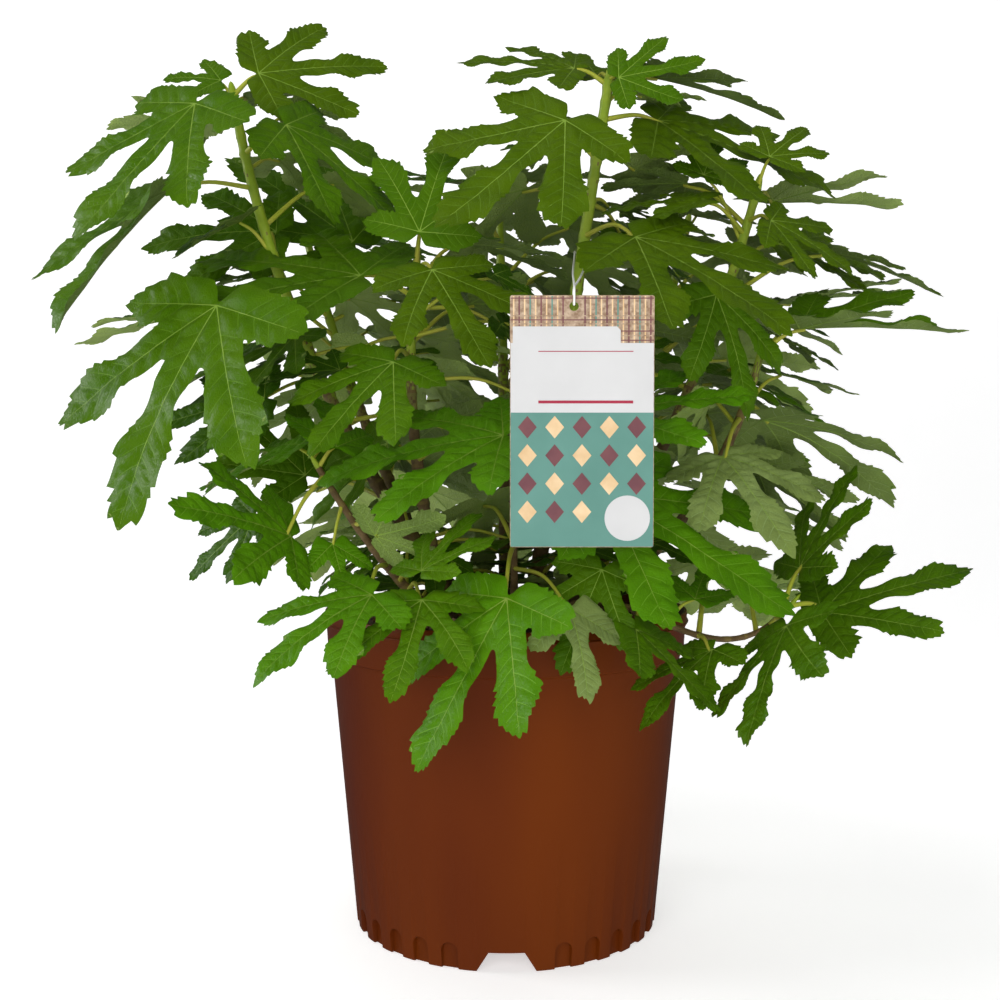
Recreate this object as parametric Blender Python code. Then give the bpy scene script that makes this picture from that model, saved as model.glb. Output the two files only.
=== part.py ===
"""Potted fig tree in a nursery pot, modelled with Blender in metres, +Z up.

The frame's origin is the middle of the pot's flat underside, and -Y looks to the viewer.
The plant has eleven canes that rise from one root.  The bare foot of each cane is one solid,
and the leafy shoot above it, with its leaf stalks and leaves fused on, is another.
"""
import math
import random
from dataclasses import dataclass, replace

import bmesh
import bpy
from mathutils import Vector
from mathutils.bvhtree import BVHTree

MM = 0.001
SEED = 31

# Pot: a round nursery container, heights measured from its underside
POT_HEIGHT = 210 * MM
RIDGE_RADIUS = 122.5 * MM
LIP_RADIUS = 121.5 * MM
BAND_RADIUS = 119.5 * MM
WALL_TOP_RADIUS = 117.2 * MM
BASE_RADIUS = 101 * MM
STEP_DROP = 28 * MM
RIDGE_DROP = 7 * MM
WALL = 2 * MM
FLOOR = 3 * MM
FOOT_WALL = 6 * MM
FOOT_HEIGHT = 19 * MM
POT_SEGMENTS = 48
SOIL_SEGMENTS = 48
FLUTE_COUNT = 8
FLUTE_START_DEG = 20
FLUTE_WIDTH = 11 * MM
FLUTE_HEIGHT = 14 * MM
FLUTE_DEPTH = 3 * MM
NOTCH_TOP = 22 * MM
NOTCH_FOOT = 37 * MM
NOTCH_HEIGHT = 12.5 * MM
NOTCH_REACH = 35 * MM
NOTCH_WALL = 2 * MM

# Potting mix: heaped a little above the rim in the middle
SOIL_TOP = 212 * MM
SOIL_CROWN_RADIUS = 78 * MM
SOIL_EDGE = 190 * MM
GAP = 0.3 * MM

# Canes and shoots
FLARE = 1.7
FLARE_HEIGHT = 14 * MM
CANE_SIDES = 8
SHOOT_SIDES = 5
STALK_SIDES = 3
STALK_FOOT = 1.7 * MM
STALK_TOP = 1.2 * MM
STALK_END = 0.4 * MM

# Leaves
LEAF_THICKNESS = 0.02
LEAF_FOLD = 0.12
VEE_START = 0.03
VEE_STEP = 0.05
LEAF_SPACE = 1.6 * MM
LIMB_SPACE = 1.0 * MM
GOLDEN_DEG = 137.5
NUDGES_MM = (0, -7, 7, -14, 14, -21, 21, -28, 28, -35, 35)
NUDGES_DEG = (0, -7, 7)
RULE_TRIES = 48

# Hang tag: a printed card on a thin loop round the middle cane
TAG_WIDTH = 79 * MM
TAG_HEIGHT = 138 * MM
TAG_THICKNESS = 1 * MM
TAG_CENTRE = (41 * MM, -158 * MM, 332 * MM)
TAG_HOLE_RADIUS = 2.6 * MM
TAG_HOLE_DROP = 6 * MM
TAG_HOLE_OFFSET = -4.5 * MM
LOOP_RADIUS = 0.6 * MM
LOOP_SIDES = 4
LOOP_HEIGHT_ON_CANE = 0.69


@dataclass(frozen=True)
class Finish:
    """A material's name, colour and roughness."""

    name: str
    colour: tuple[float, float, float]
    roughness: float

    def material(self) -> bpy.types.Material:
        """The material, made once."""
        found = bpy.data.materials.get(self.name)
        if found:
            return found
        made = bpy.data.materials.new(self.name)
        made.use_nodes = True
        shader = made.node_tree.nodes["Principled BSDF"]
        shader.inputs["Base Color"].default_value = (*self.colour, 1)
        shader.inputs["Roughness"].default_value = self.roughness
        shader.inputs["Metallic"].default_value = 0
        made.diffuse_color = (*self.colour, 1)
        return made


POT_PLASTIC = Finish("pot_plastic", (0.16, 0.028, 0.012), 0.4)
POTTING_MIX = Finish("potting_mix", (0.075, 0.038, 0.02), 0.9)
BARK = Finish("bark", (0.17, 0.1, 0.05), 0.7)
LEAF_GREEN = Finish("leaf", (0.07, 0.2, 0.02), 0.45)
TAG_CARD = Finish("tag_card", (0.8, 0.8, 0.77), 0.4)
LOOP_PLASTIC = Finish("loop_plastic", (0.85, 0.85, 0.8), 0.4)


@dataclass(frozen=True)
class Lobe:
    """One lobe of a fig leaf, its angle from the middle rib and sizes as parts of the blade."""

    angle: float
    length: float
    width: float
    neck: float


@dataclass(frozen=True)
class LeafForm:
    """A leaf's outline: its lobes from right to left, the bays between them and its heels."""

    lobes: tuple[Lobe, ...]
    bays: tuple[float, ...]
    heel_angle: float
    heel: float


FIVE = LeafForm(
    lobes=(
        Lobe(-84, 0.47, 0.115, 0.0),
        Lobe(-39, 0.81, 0.125, 0.088),
        Lobe(0, 1.0, 0.135, 0.082),
        Lobe(39, 0.81, 0.125, 0.088),
        Lobe(84, 0.47, 0.115, 0.0),
    ),
    bays=(0.27, 0.31, 0.31, 0.27),
    heel_angle=136,
    heel=0.16,
)
PLAIN = LeafForm(
    lobes=tuple(Lobe(lobe.angle, lobe.length, lobe.width, 0.0) for lobe in FIVE.lobes),
    bays=FIVE.bays,
    heel_angle=FIVE.heel_angle,
    heel=FIVE.heel,
)
THREE = LeafForm(
    lobes=(Lobe(-50, 0.68, 0.14, 0.0), Lobe(0, 1.0, 0.15, 0.09), Lobe(50, 0.68, 0.14, 0.0)),
    bays=(0.32, 0.32),
    heel_angle=118,
    heel=0.26,
)


@dataclass(frozen=True)
class Leaf:
    """A leaf and its stalk.

    Attributes:
        at: Where its stalk leaves the cane, 0 at the soil and 1 at the cane's tip.
        hub: Where its stalk meets its blade, in mm.
        blade: Length of the middle rib, in mm.
        turn: Compass heading of the middle rib, 0 to the right and -90 to the viewer.
        dip: How far the middle rib points down, in degrees.
        roll: How far the blade is rolled about its middle rib, in degrees.
        droop: How far the tip hangs below the rib's first line, as a part of the blade.
        form: The outline.
        vee: How steeply the two halves rise from the middle rib.
    """

    at: float
    hub: tuple[float, float, float]
    blade: float
    turn: float
    dip: float
    roll: float
    droop: float = 0.12
    form: LeafForm = FIVE
    vee: float = 0.0


@dataclass(frozen=True)
class Spread:
    """The leaves a cane grows by rule: how many, over which stretch, and which way they face."""

    count: int
    start: float
    turn: float
    swing: float


@dataclass(frozen=True)
class Cane:
    """One cane from the soil to its tip, with points in mm and its leaves."""

    name: str
    foot: tuple[float, float, float]
    knees: tuple[tuple[float, float, float], ...]
    tip: tuple[float, float, float]
    thickness: float
    leafy_from: float
    leaves: tuple[Leaf, ...]
    spread: Spread

    def point(self, t: float) -> Vector:
        """Place on the cane's middle line at part t of its way, by repeated halving."""
        row = [Vector(p) * MM for p in (self.foot, *self.knees, self.tip)]
        while len(row) > 1:
            row = [a.lerp(b, t) for a, b in zip(row, row[1:])]
        return row[0]

    def heading(self, t: float) -> Vector:
        """Direction of the cane's middle line at t."""
        return (self.point(min(t + 0.01, 1)) - self.point(max(t - 0.01, 0))).normalized()

    def radius(self, t: float) -> float:
        """Half the cane's thickness at t, with the root flare at its foot."""
        rise = (self.point(t).z - SOIL_TOP) / FLARE_HEIGHT
        flare = (FLARE - 1) * math.exp(-2.5 * max(rise, 0)) if t < 0.3 else 0
        return self.thickness * MM / 2 * (1 - 0.42 * t + flare)


CANES = (
    Cane(
        "left_tall", (-32, 18, 212), ((-150, 5, 360),), (-182, 0, 552), 10.5, 0.30,
        (
            Leaf(0.985, (-195, -52, 533), 118, -145, 48, -23, 0.08),
            Leaf(0.84, (-220, -20, 486), 134, -124, 34, 15, vee=0.30),
            Leaf(1.0, (-163, -10, 564), 88, 20, -12, 56, 0.03),
            Leaf(0.98, (-180, 24, 557), 72, 50, -12, 0, form=THREE),
            Leaf(0.99, (-190, -8, 562), 40, 178, -10, -52, form=THREE),
            Leaf(0.97, (-204, 26, 545), 78, 165, -4, 8, form=THREE),
            Leaf(0.90, (-139, -47, 521), 100, 5, 35, 38),
            Leaf(0.77, (-122, 25, 500), 105, 30, 4, 0),
            Leaf(0.70, (-160, 20, 468), 96, 178, -2, -52),
            Leaf(0.55, (-174, -90, 403), 148, -137, 56, -19, 0.09),
            Leaf(0.62, (-196, 20, 412), 108, 172, 6, 0),
        ),
        Spread(6, 0.34, 130, 110),
    ),
    Cane(
        "middle_front", (-40, -12, 212), ((-72, -20, 330),), (-58, -30, 437), 9.0, 0.36,
        (
            Leaf(1.0, (-54, -60, 452), 80, 50, -68, 30),
            Leaf(0.97, (-45, -85, 425), 84, -57, 41, 17, 0.11),
            Leaf(0.90, (-91, -66, 425), 140, 155, -6, -28, 0.14),
            Leaf(0.72, (-68, -92, 369), 84, -136, 38, -21, 0.09),
            Leaf(0.42, (-2, -98, 325), 118, 172, 6, -30, 0.16),
        ),
        Spread(4, 0.40, 60, 120),
    ),
    Cane(
        "middle_tall", (20, 15, 212), ((40, 8, 380),), (67, -20, 557), 11.0, 0.20,
        (
            Leaf(0.99, (44, -24, 563), 78, 174, -12, -34),
            Leaf(1.0, (62, 8, 566), 64, 105, -38, 0, form=THREE),
            Leaf(1.0, (72, -35, 554), 56, -8, -10, 62),
            Leaf(0.985, (88, -42, 550), 46, -25, 2, 0, form=THREE),
            Leaf(0.96, (100, 22, 571), 94, 0, 11, 16, vee=0.30),
            Leaf(0.93, (100, -46, 533), 128, -6, 18, 33),
            Leaf(0.90, (36, -70, 518), 110, -148, 39, -38, 0.09),
            Leaf(0.87, (84, -18, 506), 74, 8, -2, -14, form=THREE),
            Leaf(0.78, (78, 34, 468), 108, -4, 36, 18),
            Leaf(0.72, (78, -82, 445), 116, -33, 28, 25, 0.09),
            Leaf(0.36, (57, -84, 339), 96, -16, -10, 30),
        ),
        Spread(5, 0.26, 100, 150),
    ),
    Cane(
        "right_outer", (55, -10, 212), ((140, -20, 270),), (165, -30, 378), 8.5, 0.20,
        (
            Leaf(1.0, (188, -40, 394), 102, -25, -2, 14, vee=0.42),
            Leaf(0.92, (150, 12, 372), 84, -22, 22, 4),
            Leaf(0.85, (170, -16, 336), 112, 18, 14, -12, 0.28),
            Leaf(0.80, (134, -70, 312), 82, -70, 26, 14, 0.28),
            Leaf(0.25, (61, -114, 289), 130, -27, 26, 30),
        ),
        Spread(5, 0.30, 40, 90),
    ),
    Cane(
        "right_tall", (48, 22, 212), ((130, 0, 340),), (164, -20, 487), 9.5, 0.30,
        (
            Leaf(0.62, (132, -46, 414), 82, -37, 66, 20, 0.15),
            Leaf(0.88, (130, -20, 497), 45, 55, -60, 34),
            Leaf(1.0, (168, -18, 503), 50, 39, -36, 34),
            Leaf(0.97, (184, 16, 490), 104, 15, -6, 2, vee=0.28),
            Leaf(0.93, (166, -54, 460), 62, -5, 27, 40),
            Leaf(0.90, (126, -48, 474), 68, 168, -2, -22, form=THREE),
            Leaf(0.82, (188, 24, 458), 88, 12, 10, 34, vee=0.10),
            Leaf(0.75, (214, -4, 447), 78, -14, 17, 8, vee=0.20),
            Leaf(0.68, (196, 16, 418), 98, 17, -12, 2, vee=0.16),
        ),
        Spread(5, 0.36, 60, 110),
    ),
    Cane(
        "low_right", (35, -48, 212), ((75, -92, 248), (120, -108, 168)), (172, -90, 222), 5.0, 0.30,
        (
            Leaf(0.96, (182, -72, 243), 78, 22, -62, -7),
            Leaf(1.0, (195, -76, 216), 94, -10, -22, 30),
            Leaf(0.92, (158, -114, 217), 82, -125, 37, 32),
            Leaf(0.62, (119, -126, 201), 66, -153, 31, 0),
            Leaf(0.48, (114, -92, 226), 42, 70, -30, 16, form=THREE),
            Leaf(0.36, (72, -128, 216), 64, -35, 42, 0, form=THREE),
        ),
        Spread(2, 0.5, 60, 60),
    ),
    Cane(
        "low_left", (-50, -42, 212), ((-85, -60, 250),), (-118, -60, 305), 6.5, 0.14,
        (
            Leaf(0.95, (-131, -88, 264), 86, -130, -20, -50),
            Leaf(0.38, (-78, -128, 233), 84, -150, 22, -18, 0.15),
            Leaf(0.78, (-108, -92, 258), 42, -60, 50, 0, form=THREE),
            Leaf(1.0, (-107, -56, 318), 58, 109, -40, 14, form=THREE),
            Leaf(0.66, (-80, -98, 264), 58, -30, -14, -52),
            Leaf(0.26, (-49, -122, 247), 58, 48, -46, 0),
            Leaf(0.18, (-49, -128, 230), 74, -100, 34, 0),
        ),
        Spread(2, 0.5, 150, 60),
    ),
    Cane(
        "low_front", (5, -50, 212), ((5, -58, 235),), (5, -64, 264), 6.0, 0.30,
        (
            Leaf(0.9, (0, -130, 232), 108, -144, 53, -10, 0.10),
            Leaf(1.0, (56, -112, 246), 66, -140, 58, -28),
            Leaf(0.6, (36, -128, 226), 56, -70, 50, 0, form=THREE),
        ),
        Spread(1, 0.8, 90, 60),
    ),
    Cane(
        "back_left", (-45, 50, 212), ((-110, 90, 330),), (-150, 120, 470), 9.5, 0.22,
        (
            Leaf(0.93, (-113, 74, 470), 118, 178, -38, -48),
            Leaf(0.60, (-166, 18, 352), 92, 172, 10, -42),
            Leaf(0.52, (-143, 48, 298), 80, 166, -42, -50),
            Leaf(0.34, (-176, 30, 270), 64, -172, 40, -40),
        ),
        Spread(14, 0.26, 120, 130),
    ),
    Cane(
        "back_middle", (0, 55, 212), ((0, 110, 340),), (-5, 130, 520), 10.0, 0.20,
        (),
        Spread(17, 0.24, 90, 160),
    ),
    Cane(
        "back_right", (40, 52, 212), ((105, 100, 330),), (140, 125, 490), 9.5, 0.22,
        (),
        Spread(16, 0.26, 50, 130),
    ),
)


def tidy_scene() -> None:
    """Empty the scene before anything is built."""
    for old in list(bpy.data.objects):
        bpy.data.objects.remove(old, do_unlink=True)


def mesh_object(name: str, points: list, faces: list) -> bpy.types.Object:
    """Make an object from points and faces, with its faces turned outward."""
    mesh = bpy.data.meshes.new(name)
    mesh.from_pydata([tuple(p) for p in points], [], faces)
    work = bmesh.new()
    work.from_mesh(mesh)
    bmesh.ops.recalc_face_normals(work, faces=work.faces)
    work.to_mesh(mesh)
    work.free()
    obj = bpy.data.objects.new(name, mesh)
    bpy.context.scene.collection.objects.link(obj)
    return obj


def dress(obj: bpy.types.Object, finish: Finish, origin: Vector, smooth: bool) -> None:
    """Give an object its material, its origin and its shading."""
    obj.data.materials.clear()
    obj.data.materials.append(finish.material())
    for vertex in obj.data.vertices:
        vertex.co -= origin
    obj.location = origin
    if smooth:
        obj.data.shade_smooth()
        obj.data.set_sharp_from_angle(angle=math.radians(35))


def turned(name: str, profile: list[tuple[float, float]], segments: int) -> bpy.types.Object:
    """Turn a closed profile of (radius, height) pairs about the upright axis."""
    points: list[Vector] = []
    rings: list[list[int]] = []
    for radius, height in profile:
        if radius < 1e-9:
            rings.append([len(points)] * segments)
            points.append(Vector((0, 0, height)))
            continue
        rings.append(list(range(len(points), len(points) + segments)))
        for k in range(segments):
            angle = 2 * math.pi * (k + 0.5) / segments
            points.append(Vector((radius * math.cos(angle), radius * math.sin(angle), height)))
    faces = []
    for ring, following in zip(rings, rings[1:] + rings[:1]):
        for k in range(segments):
            j = (k + 1) % segments
            corner = [ring[k], ring[j], following[j], following[k]]
            face = list(dict.fromkeys(corner))
            if len(face) > 2:
                faces.append(face)
    return mesh_object(name, points, faces)


def tube_mesh(
    path: list[Vector],
    radii: list[float],
    sides: int,
    headings: list[Vector] | None = None,
    flat_foot: bool = False,
    closed: bool = False,
) -> tuple[list[Vector], list[list[int]]]:
    """Points and faces of a tube along a path, its first ring level where flat_foot is set."""
    points: list[Vector] = []
    side = Vector((1, 0, 0))
    count = len(path)
    for i, centre in enumerate(path):
        before = path[i - 1] if i or closed else path[0]
        after = path[(i + 1) % count] if i < count - 1 or closed else path[-1]
        ahead = headings[i] if headings else (after - before).normalized()
        if flat_foot and i < 3:
            ahead = Vector((0, 0, 1)).lerp(ahead, i / 3).normalized()
        side = side - ahead * side.dot(ahead)
        if side.length < 1e-6:
            side = ahead.orthogonal()
        side.normalize()
        up = ahead.cross(side)
        for k in range(sides):
            angle = 2 * math.pi * k / sides
            points.append(centre + (side * math.cos(angle) + up * math.sin(angle)) * radii[i])
    faces = []
    for i in range(count if closed else count - 1):
        j = (i + 1) % count
        for k in range(sides):
            m = (k + 1) % sides
            faces.append([i * sides + k, i * sides + m, j * sides + m, j * sides + k])
    if not closed:
        faces.append(list(range(sides))[::-1])
        faces.append([(count - 1) * sides + k for k in range(sides)])
    return points, faces


def combine(target: bpy.types.Object, others: list[bpy.types.Object], operation: str) -> None:
    """Run one exact Boolean of target with others, then remove the others."""
    group = bpy.data.collections.new("operands")
    bpy.context.scene.collection.children.link(group)
    for other in others:
        group.objects.link(other)
    change = target.modifiers.new("combine", "BOOLEAN")
    change.operation = operation
    change.solver = "EXACT"
    change.operand_type = "COLLECTION"
    change.collection = group
    change.use_self = operation == "UNION"
    bpy.context.view_layer.objects.active = target
    bpy.ops.object.modifier_apply(modifier=change.name)
    for other in others:
        bpy.data.objects.remove(other, do_unlink=True)
    bpy.data.collections.remove(group)


def keep_largest(obj: bpy.types.Object) -> None:
    """Drop loose scraps that a Boolean left, so that the node is one solid."""
    work = bmesh.new()
    work.from_mesh(obj.data)
    bmesh.ops.remove_doubles(work, verts=work.verts, dist=2e-6)
    unseen = set(work.verts)
    islands = []
    while unseen:
        front = [unseen.pop()]
        island = list(front)
        while front:
            vert = front.pop()
            for edge in vert.link_edges:
                other = edge.other_vert(vert)
                if other in unseen:
                    unseen.remove(other)
                    front.append(other)
                    island.append(other)
        islands.append(island)
    islands.sort(key=len, reverse=True)
    for island in islands[1:]:
        bmesh.ops.delete(work, geom=island, context="VERTS")
    bmesh.ops.triangulate(work, faces=work.faces)
    work.to_mesh(obj.data)
    work.free()


def block(
    name: str, outline: list[tuple[float, float]], near: float, far: float, angle: float
) -> bpy.types.Object:
    """A prism with its outline across the wall, from radius near to far at an angle."""
    out = Vector((math.cos(angle), math.sin(angle), 0))
    across = Vector((-math.sin(angle), math.cos(angle), 0))
    points = []
    for radius in (near, far):
        for x, z in outline:
            points.append(out * radius + across * x + Vector((0, 0, z)))
    count = len(outline)
    faces = [list(range(count))[::-1], list(range(count, 2 * count))]
    for k in range(count):
        j = (k + 1) % count
        faces.append([k, j, count + j, count + k])
    return mesh_object(name, points, faces)


def wall_radius(height: float) -> float:
    """Outer radius of the pot's tapering wall at a height below the step."""
    part = height / (POT_HEIGHT - STEP_DROP)
    return BASE_RADIUS + (WALL_TOP_RADIUS - BASE_RADIUS) * part


def notch_outline(grow: float, foot: float) -> list[tuple[float, float]]:
    """Outline of a drain notch, grown on its sides and top."""
    lean = (NOTCH_FOOT - NOTCH_TOP) / 2 / NOTCH_HEIGHT
    side = NOTCH_FOOT / 2 + grow * math.hypot(1, lean)
    head = NOTCH_HEIGHT + grow
    low, top = side - lean * foot, side - lean * head
    return [(-low, foot), (low, foot), (top, head), (-top, head)]


def build_pot() -> bpy.types.Object:
    """The pot with its rim band, drain notches and the flutes round its foot."""
    step = POT_HEIGHT - STEP_DROP
    ridge = POT_HEIGHT - RIDGE_DROP
    profile = [
        (0, 0),
        (BASE_RADIUS - MM, 0),
        (BASE_RADIUS, MM),
        (WALL_TOP_RADIUS, step),
        (BAND_RADIUS - 2 * MM + WALL, step + MM),
        (BAND_RADIUS + MM, ridge - 3 * MM),
        (RIDGE_RADIUS, ridge),
        (LIP_RADIUS, ridge + MM),
        (LIP_RADIUS, POT_HEIGHT),
        (LIP_RADIUS - 2 * MM, POT_HEIGHT),
        (BAND_RADIUS - WALL, step + 2 * MM),
        (WALL_TOP_RADIUS - WALL, step - 2 * MM),
        (wall_radius(FOOT_HEIGHT + 5 * MM) - WALL, FOOT_HEIGHT + 5 * MM),
        (wall_radius(FOOT_HEIGHT) - FOOT_WALL, FOOT_HEIGHT),
        (BASE_RADIUS - FOOT_WALL, FLOOR),
        (0, FLOOR),
    ]
    pot = turned("pot", profile, POT_SEGMENTS)
    notches = [math.radians(-90 + 120 * k) for k in range(3)]
    inside = BASE_RADIUS - NOTCH_REACH
    roofs = [
        block("roof", notch_outline(NOTCH_WALL, MM), inside - NOTCH_WALL, BASE_RADIUS - 2 * MM, angle)
        for angle in notches
    ]
    combine(pot, roofs, "UNION")
    cutters = [
        block("notch", notch_outline(0, -5 * MM), inside, BASE_RADIUS + 10 * MM, angle)
        for angle in notches
    ]
    half = FLUTE_WIDTH / 2
    arch = [
        (-half, -5 * MM),
        (half, -5 * MM),
        (half, FLUTE_HEIGHT - half * 0.8),
        (half * 0.4, FLUTE_HEIGHT),
        (-half * 0.4, FLUTE_HEIGHT),
        (-half, FLUTE_HEIGHT - half * 0.8),
    ]
    for notch in notches:
        for turn in steps(FLUTE_COUNT, FLUTE_START_DEG, 120 - FLUTE_START_DEG):
            angle = notch + math.radians(turn)
            cutters.append(
                block("flute", arch, BASE_RADIUS - FLUTE_DEPTH, BASE_RADIUS + 10 * MM, angle)
            )
    combine(pot, cutters, "DIFFERENCE")
    keep_largest(pot)
    dress(pot, POT_PLASTIC, Vector(), smooth=True)
    return pot


def build_soil() -> bpy.types.Object:
    """The potting mix, heaped to a flat crown that the canes stand on."""
    room = GAP
    profile = [
        (0, FLOOR + GAP),
        (BASE_RADIUS - FOOT_WALL - room, FLOOR + GAP),
        (wall_radius(FOOT_HEIGHT) - FOOT_WALL - room, FOOT_HEIGHT),
        (wall_radius(FOOT_HEIGHT + 5 * MM) - WALL - room, FOOT_HEIGHT + 5 * MM + GAP),
        (WALL_TOP_RADIUS - WALL - room, SOIL_EDGE),
        ((BAND_RADIUS + SOIL_CROWN_RADIUS) / 2, SOIL_TOP - 6 * MM),
        (SOIL_CROWN_RADIUS, SOIL_TOP),
        (0, SOIL_TOP),
    ]
    soil = turned("soil", profile, SOIL_SEGMENTS)
    inside = BASE_RADIUS - NOTCH_REACH - NOTCH_WALL - GAP
    cutters = [
        block(
            "clear", notch_outline(NOTCH_WALL + GAP, -MM), inside, BASE_RADIUS + 5 * MM,
            math.radians(-90 + 120 * k),
        )
        for k in range(3)
    ]
    combine(soil, cutters, "DIFFERENCE")
    keep_largest(soil)
    dress(soil, POTTING_MIX, Vector(), smooth=False)
    return soil


def leaf_axes(leaf: Leaf) -> tuple[Vector, Vector, Vector]:
    """The middle rib's direction, the direction to its left and the blade's upper side."""
    turn, dip, roll = (math.radians(v) for v in (leaf.turn, leaf.dip, leaf.roll))
    rib = Vector((math.cos(turn) * math.cos(dip), math.sin(turn) * math.cos(dip), -math.sin(dip)))
    level = Vector((-math.sin(turn), math.cos(turn), 0))
    left = level * math.cos(roll) + rib.cross(level) * math.sin(roll)
    return rib, left, rib.cross(left)


def rib_distance(form: LeafForm, a: float, b: float) -> float:
    """Distance of a flat leaf point from the nearest rib."""
    best = math.hypot(a, b)
    for lobe in form.lobes:
        angle = math.radians(lobe.angle)
        along = a * math.cos(angle) + b * math.sin(angle)
        if along > 0:
            best = min(best, abs(b * math.cos(angle) - a * math.sin(angle)))
    return best


def on_blade(leaf: Leaf, a: float, b: float, lift: float = 0) -> Vector:
    """Place of a flat leaf point on the drooping, folded blade, lifted off it in metres."""
    rib, left, upper = leaf_axes(leaf)
    size = leaf.blade * MM
    slim = b / math.hypot(1, leaf.vee)
    height = LEAF_FOLD * rib_distance(leaf.form, a, b) + leaf.vee * abs(slim)
    height -= leaf.droop * (a * a + b * b)
    return Vector(leaf.hub) * MM + (rib * a + left * slim + upper * height) * size + upper * lift


def polar(angle: float, radius: float, across: float = 0) -> tuple[float, float]:
    """Flat leaf point at a radius along an angle in degrees, moved across to the left."""
    turn = math.radians(angle)
    return (
        radius * math.cos(turn) - across * math.sin(turn),
        radius * math.sin(turn) + across * math.cos(turn),
    )


def leaf_mesh(leaf: Leaf) -> tuple[list[Vector], list[list[int]]]:
    """Points and faces of a thin lobed plate, thickest along its ribs and sharp at its edge."""
    form = leaf.form
    half = max(LEAF_THICKNESS * leaf.blade * MM, 1.4 * MM) / 2
    edge: list[tuple[float, float]] = [(-0.02, 0.0)]
    stretches: list[list[int]] = []
    last = len(form.lobes) - 1
    heel_left = 0
    for k, lobe in enumerate(form.lobes):
        run = [len(edge) - 1]
        if k == 0:
            edge.append(polar(-form.heel_angle, form.heel))
            run.append(len(edge) - 1)
        if lobe.neck:
            edge.append(polar(lobe.angle, 0.46 * lobe.length, -lobe.neck))
            run.append(len(edge) - 1)
        for part, across in ((0.74, -lobe.width), (1.0, 0.0), (0.74, lobe.width)):
            edge.append(polar(lobe.angle, part * lobe.length, across))
            run.append(len(edge) - 1)
        if lobe.neck:
            edge.append(polar(lobe.angle, 0.46 * lobe.length, lobe.neck))
            run.append(len(edge) - 1)
        if k < last:
            between = (lobe.angle + form.lobes[k + 1].angle) / 2
            edge.append(polar(between, form.bays[k]))
            run.append(len(edge) - 1)
        else:
            edge.append(polar(form.heel_angle, form.heel))
            heel_left = len(edge) - 1
            run.append(heel_left)
            run.append(0)
        stretches.append(run)
    points = [on_blade(leaf, a, b) for a, b in edge]
    faces: list[list[int]] = []
    for lift, order in ((half, 1), (-half, -1)):
        hub = len(points)
        points.append(on_blade(leaf, 0.03, 0, lift))
        for lobe, run in zip(form.lobes, stretches):
            middle = len(points)
            points.append(on_blade(leaf, *polar(lobe.angle, 0.58 * lobe.length), lift))
            for first, second in zip(run, run[1:]):
                faces.append([middle, first, second][::order])
            faces.append([hub, run[0], middle][::order])
            faces.append([hub, middle, run[-1]][::order])
    return points, faces


def stalk_path(cane: Cane, leaf: Leaf) -> list[Vector]:
    """The leaf stalk's middle line, from inside the cane to a little way into the blade."""
    start = cane.point(leaf.at)
    rib, _, _ = leaf_axes(leaf)
    end = Vector(leaf.hub) * MM + rib * (0.035 * leaf.blade * MM)
    span = (end - start).length
    bend = start.lerp(end, 0.55) + Vector((0, 0, 0.10 * span))
    return [start, bend, end]


def nudged(leaf: Leaf) -> list[Leaf]:
    """A seen leaf and the places near it, along the line of sight, where it may give way."""
    places = []
    for shift in NUDGES_MM:
        for lean in NUDGES_DEG:
            x, y, z = leaf.hub
            places.append(replace(leaf, hub=(x, y + shift, z), dip=leaf.dip + lean))
    return places


class Space:
    """What already stands in the crown, so that nothing new touches it."""

    def __init__(self) -> None:
        """Start with an empty crown."""
        self.taken: list[tuple[str, str, Vector, float, BVHTree, list[Vector]]] = []

    def add(self, kind: str, owner: str, points: list[Vector], faces: list[list[int]]) -> None:
        """Take the room of one mesh."""
        middle = sum(points, Vector()) / len(points)
        reach = max((p - middle).length for p in points)
        tree = BVHTree.FromPolygons(points, faces)
        self.taken.append((kind, owner, middle, reach, tree, points))

    def clash(
        self, points: list[Vector], faces: list[list[int]], space: float, skip: tuple[str, ...] = ()
    ) -> str:
        """Name of the first thing a mesh touches or comes nearer to than space, or nothing."""
        middle = sum(points, Vector()) / len(points)
        reach = max((p - middle).length for p in points)
        tree = BVHTree.FromPolygons(points, faces)
        for kind, owner, centre, size, other, corners in self.taken:
            if kind in skip or (kind, owner) in skip:
                continue
            if (centre - middle).length > reach + size + space:
                continue
            if tree.overlap(other):
                return f"{kind} {owner}"
            if any(other.find_nearest(p, space)[0] is not None for p in points):
                return f"{kind} {owner}"
            if any(tree.find_nearest(p, space)[0] is not None for p in corners):
                return f"{kind} {owner}"
        return ""


def steps(count: int, start: float, stop: float) -> list[float]:
    """Even steps from start to stop, both included."""
    return [start + (stop - start) * k / (count - 1) for k in range(count)]


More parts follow.
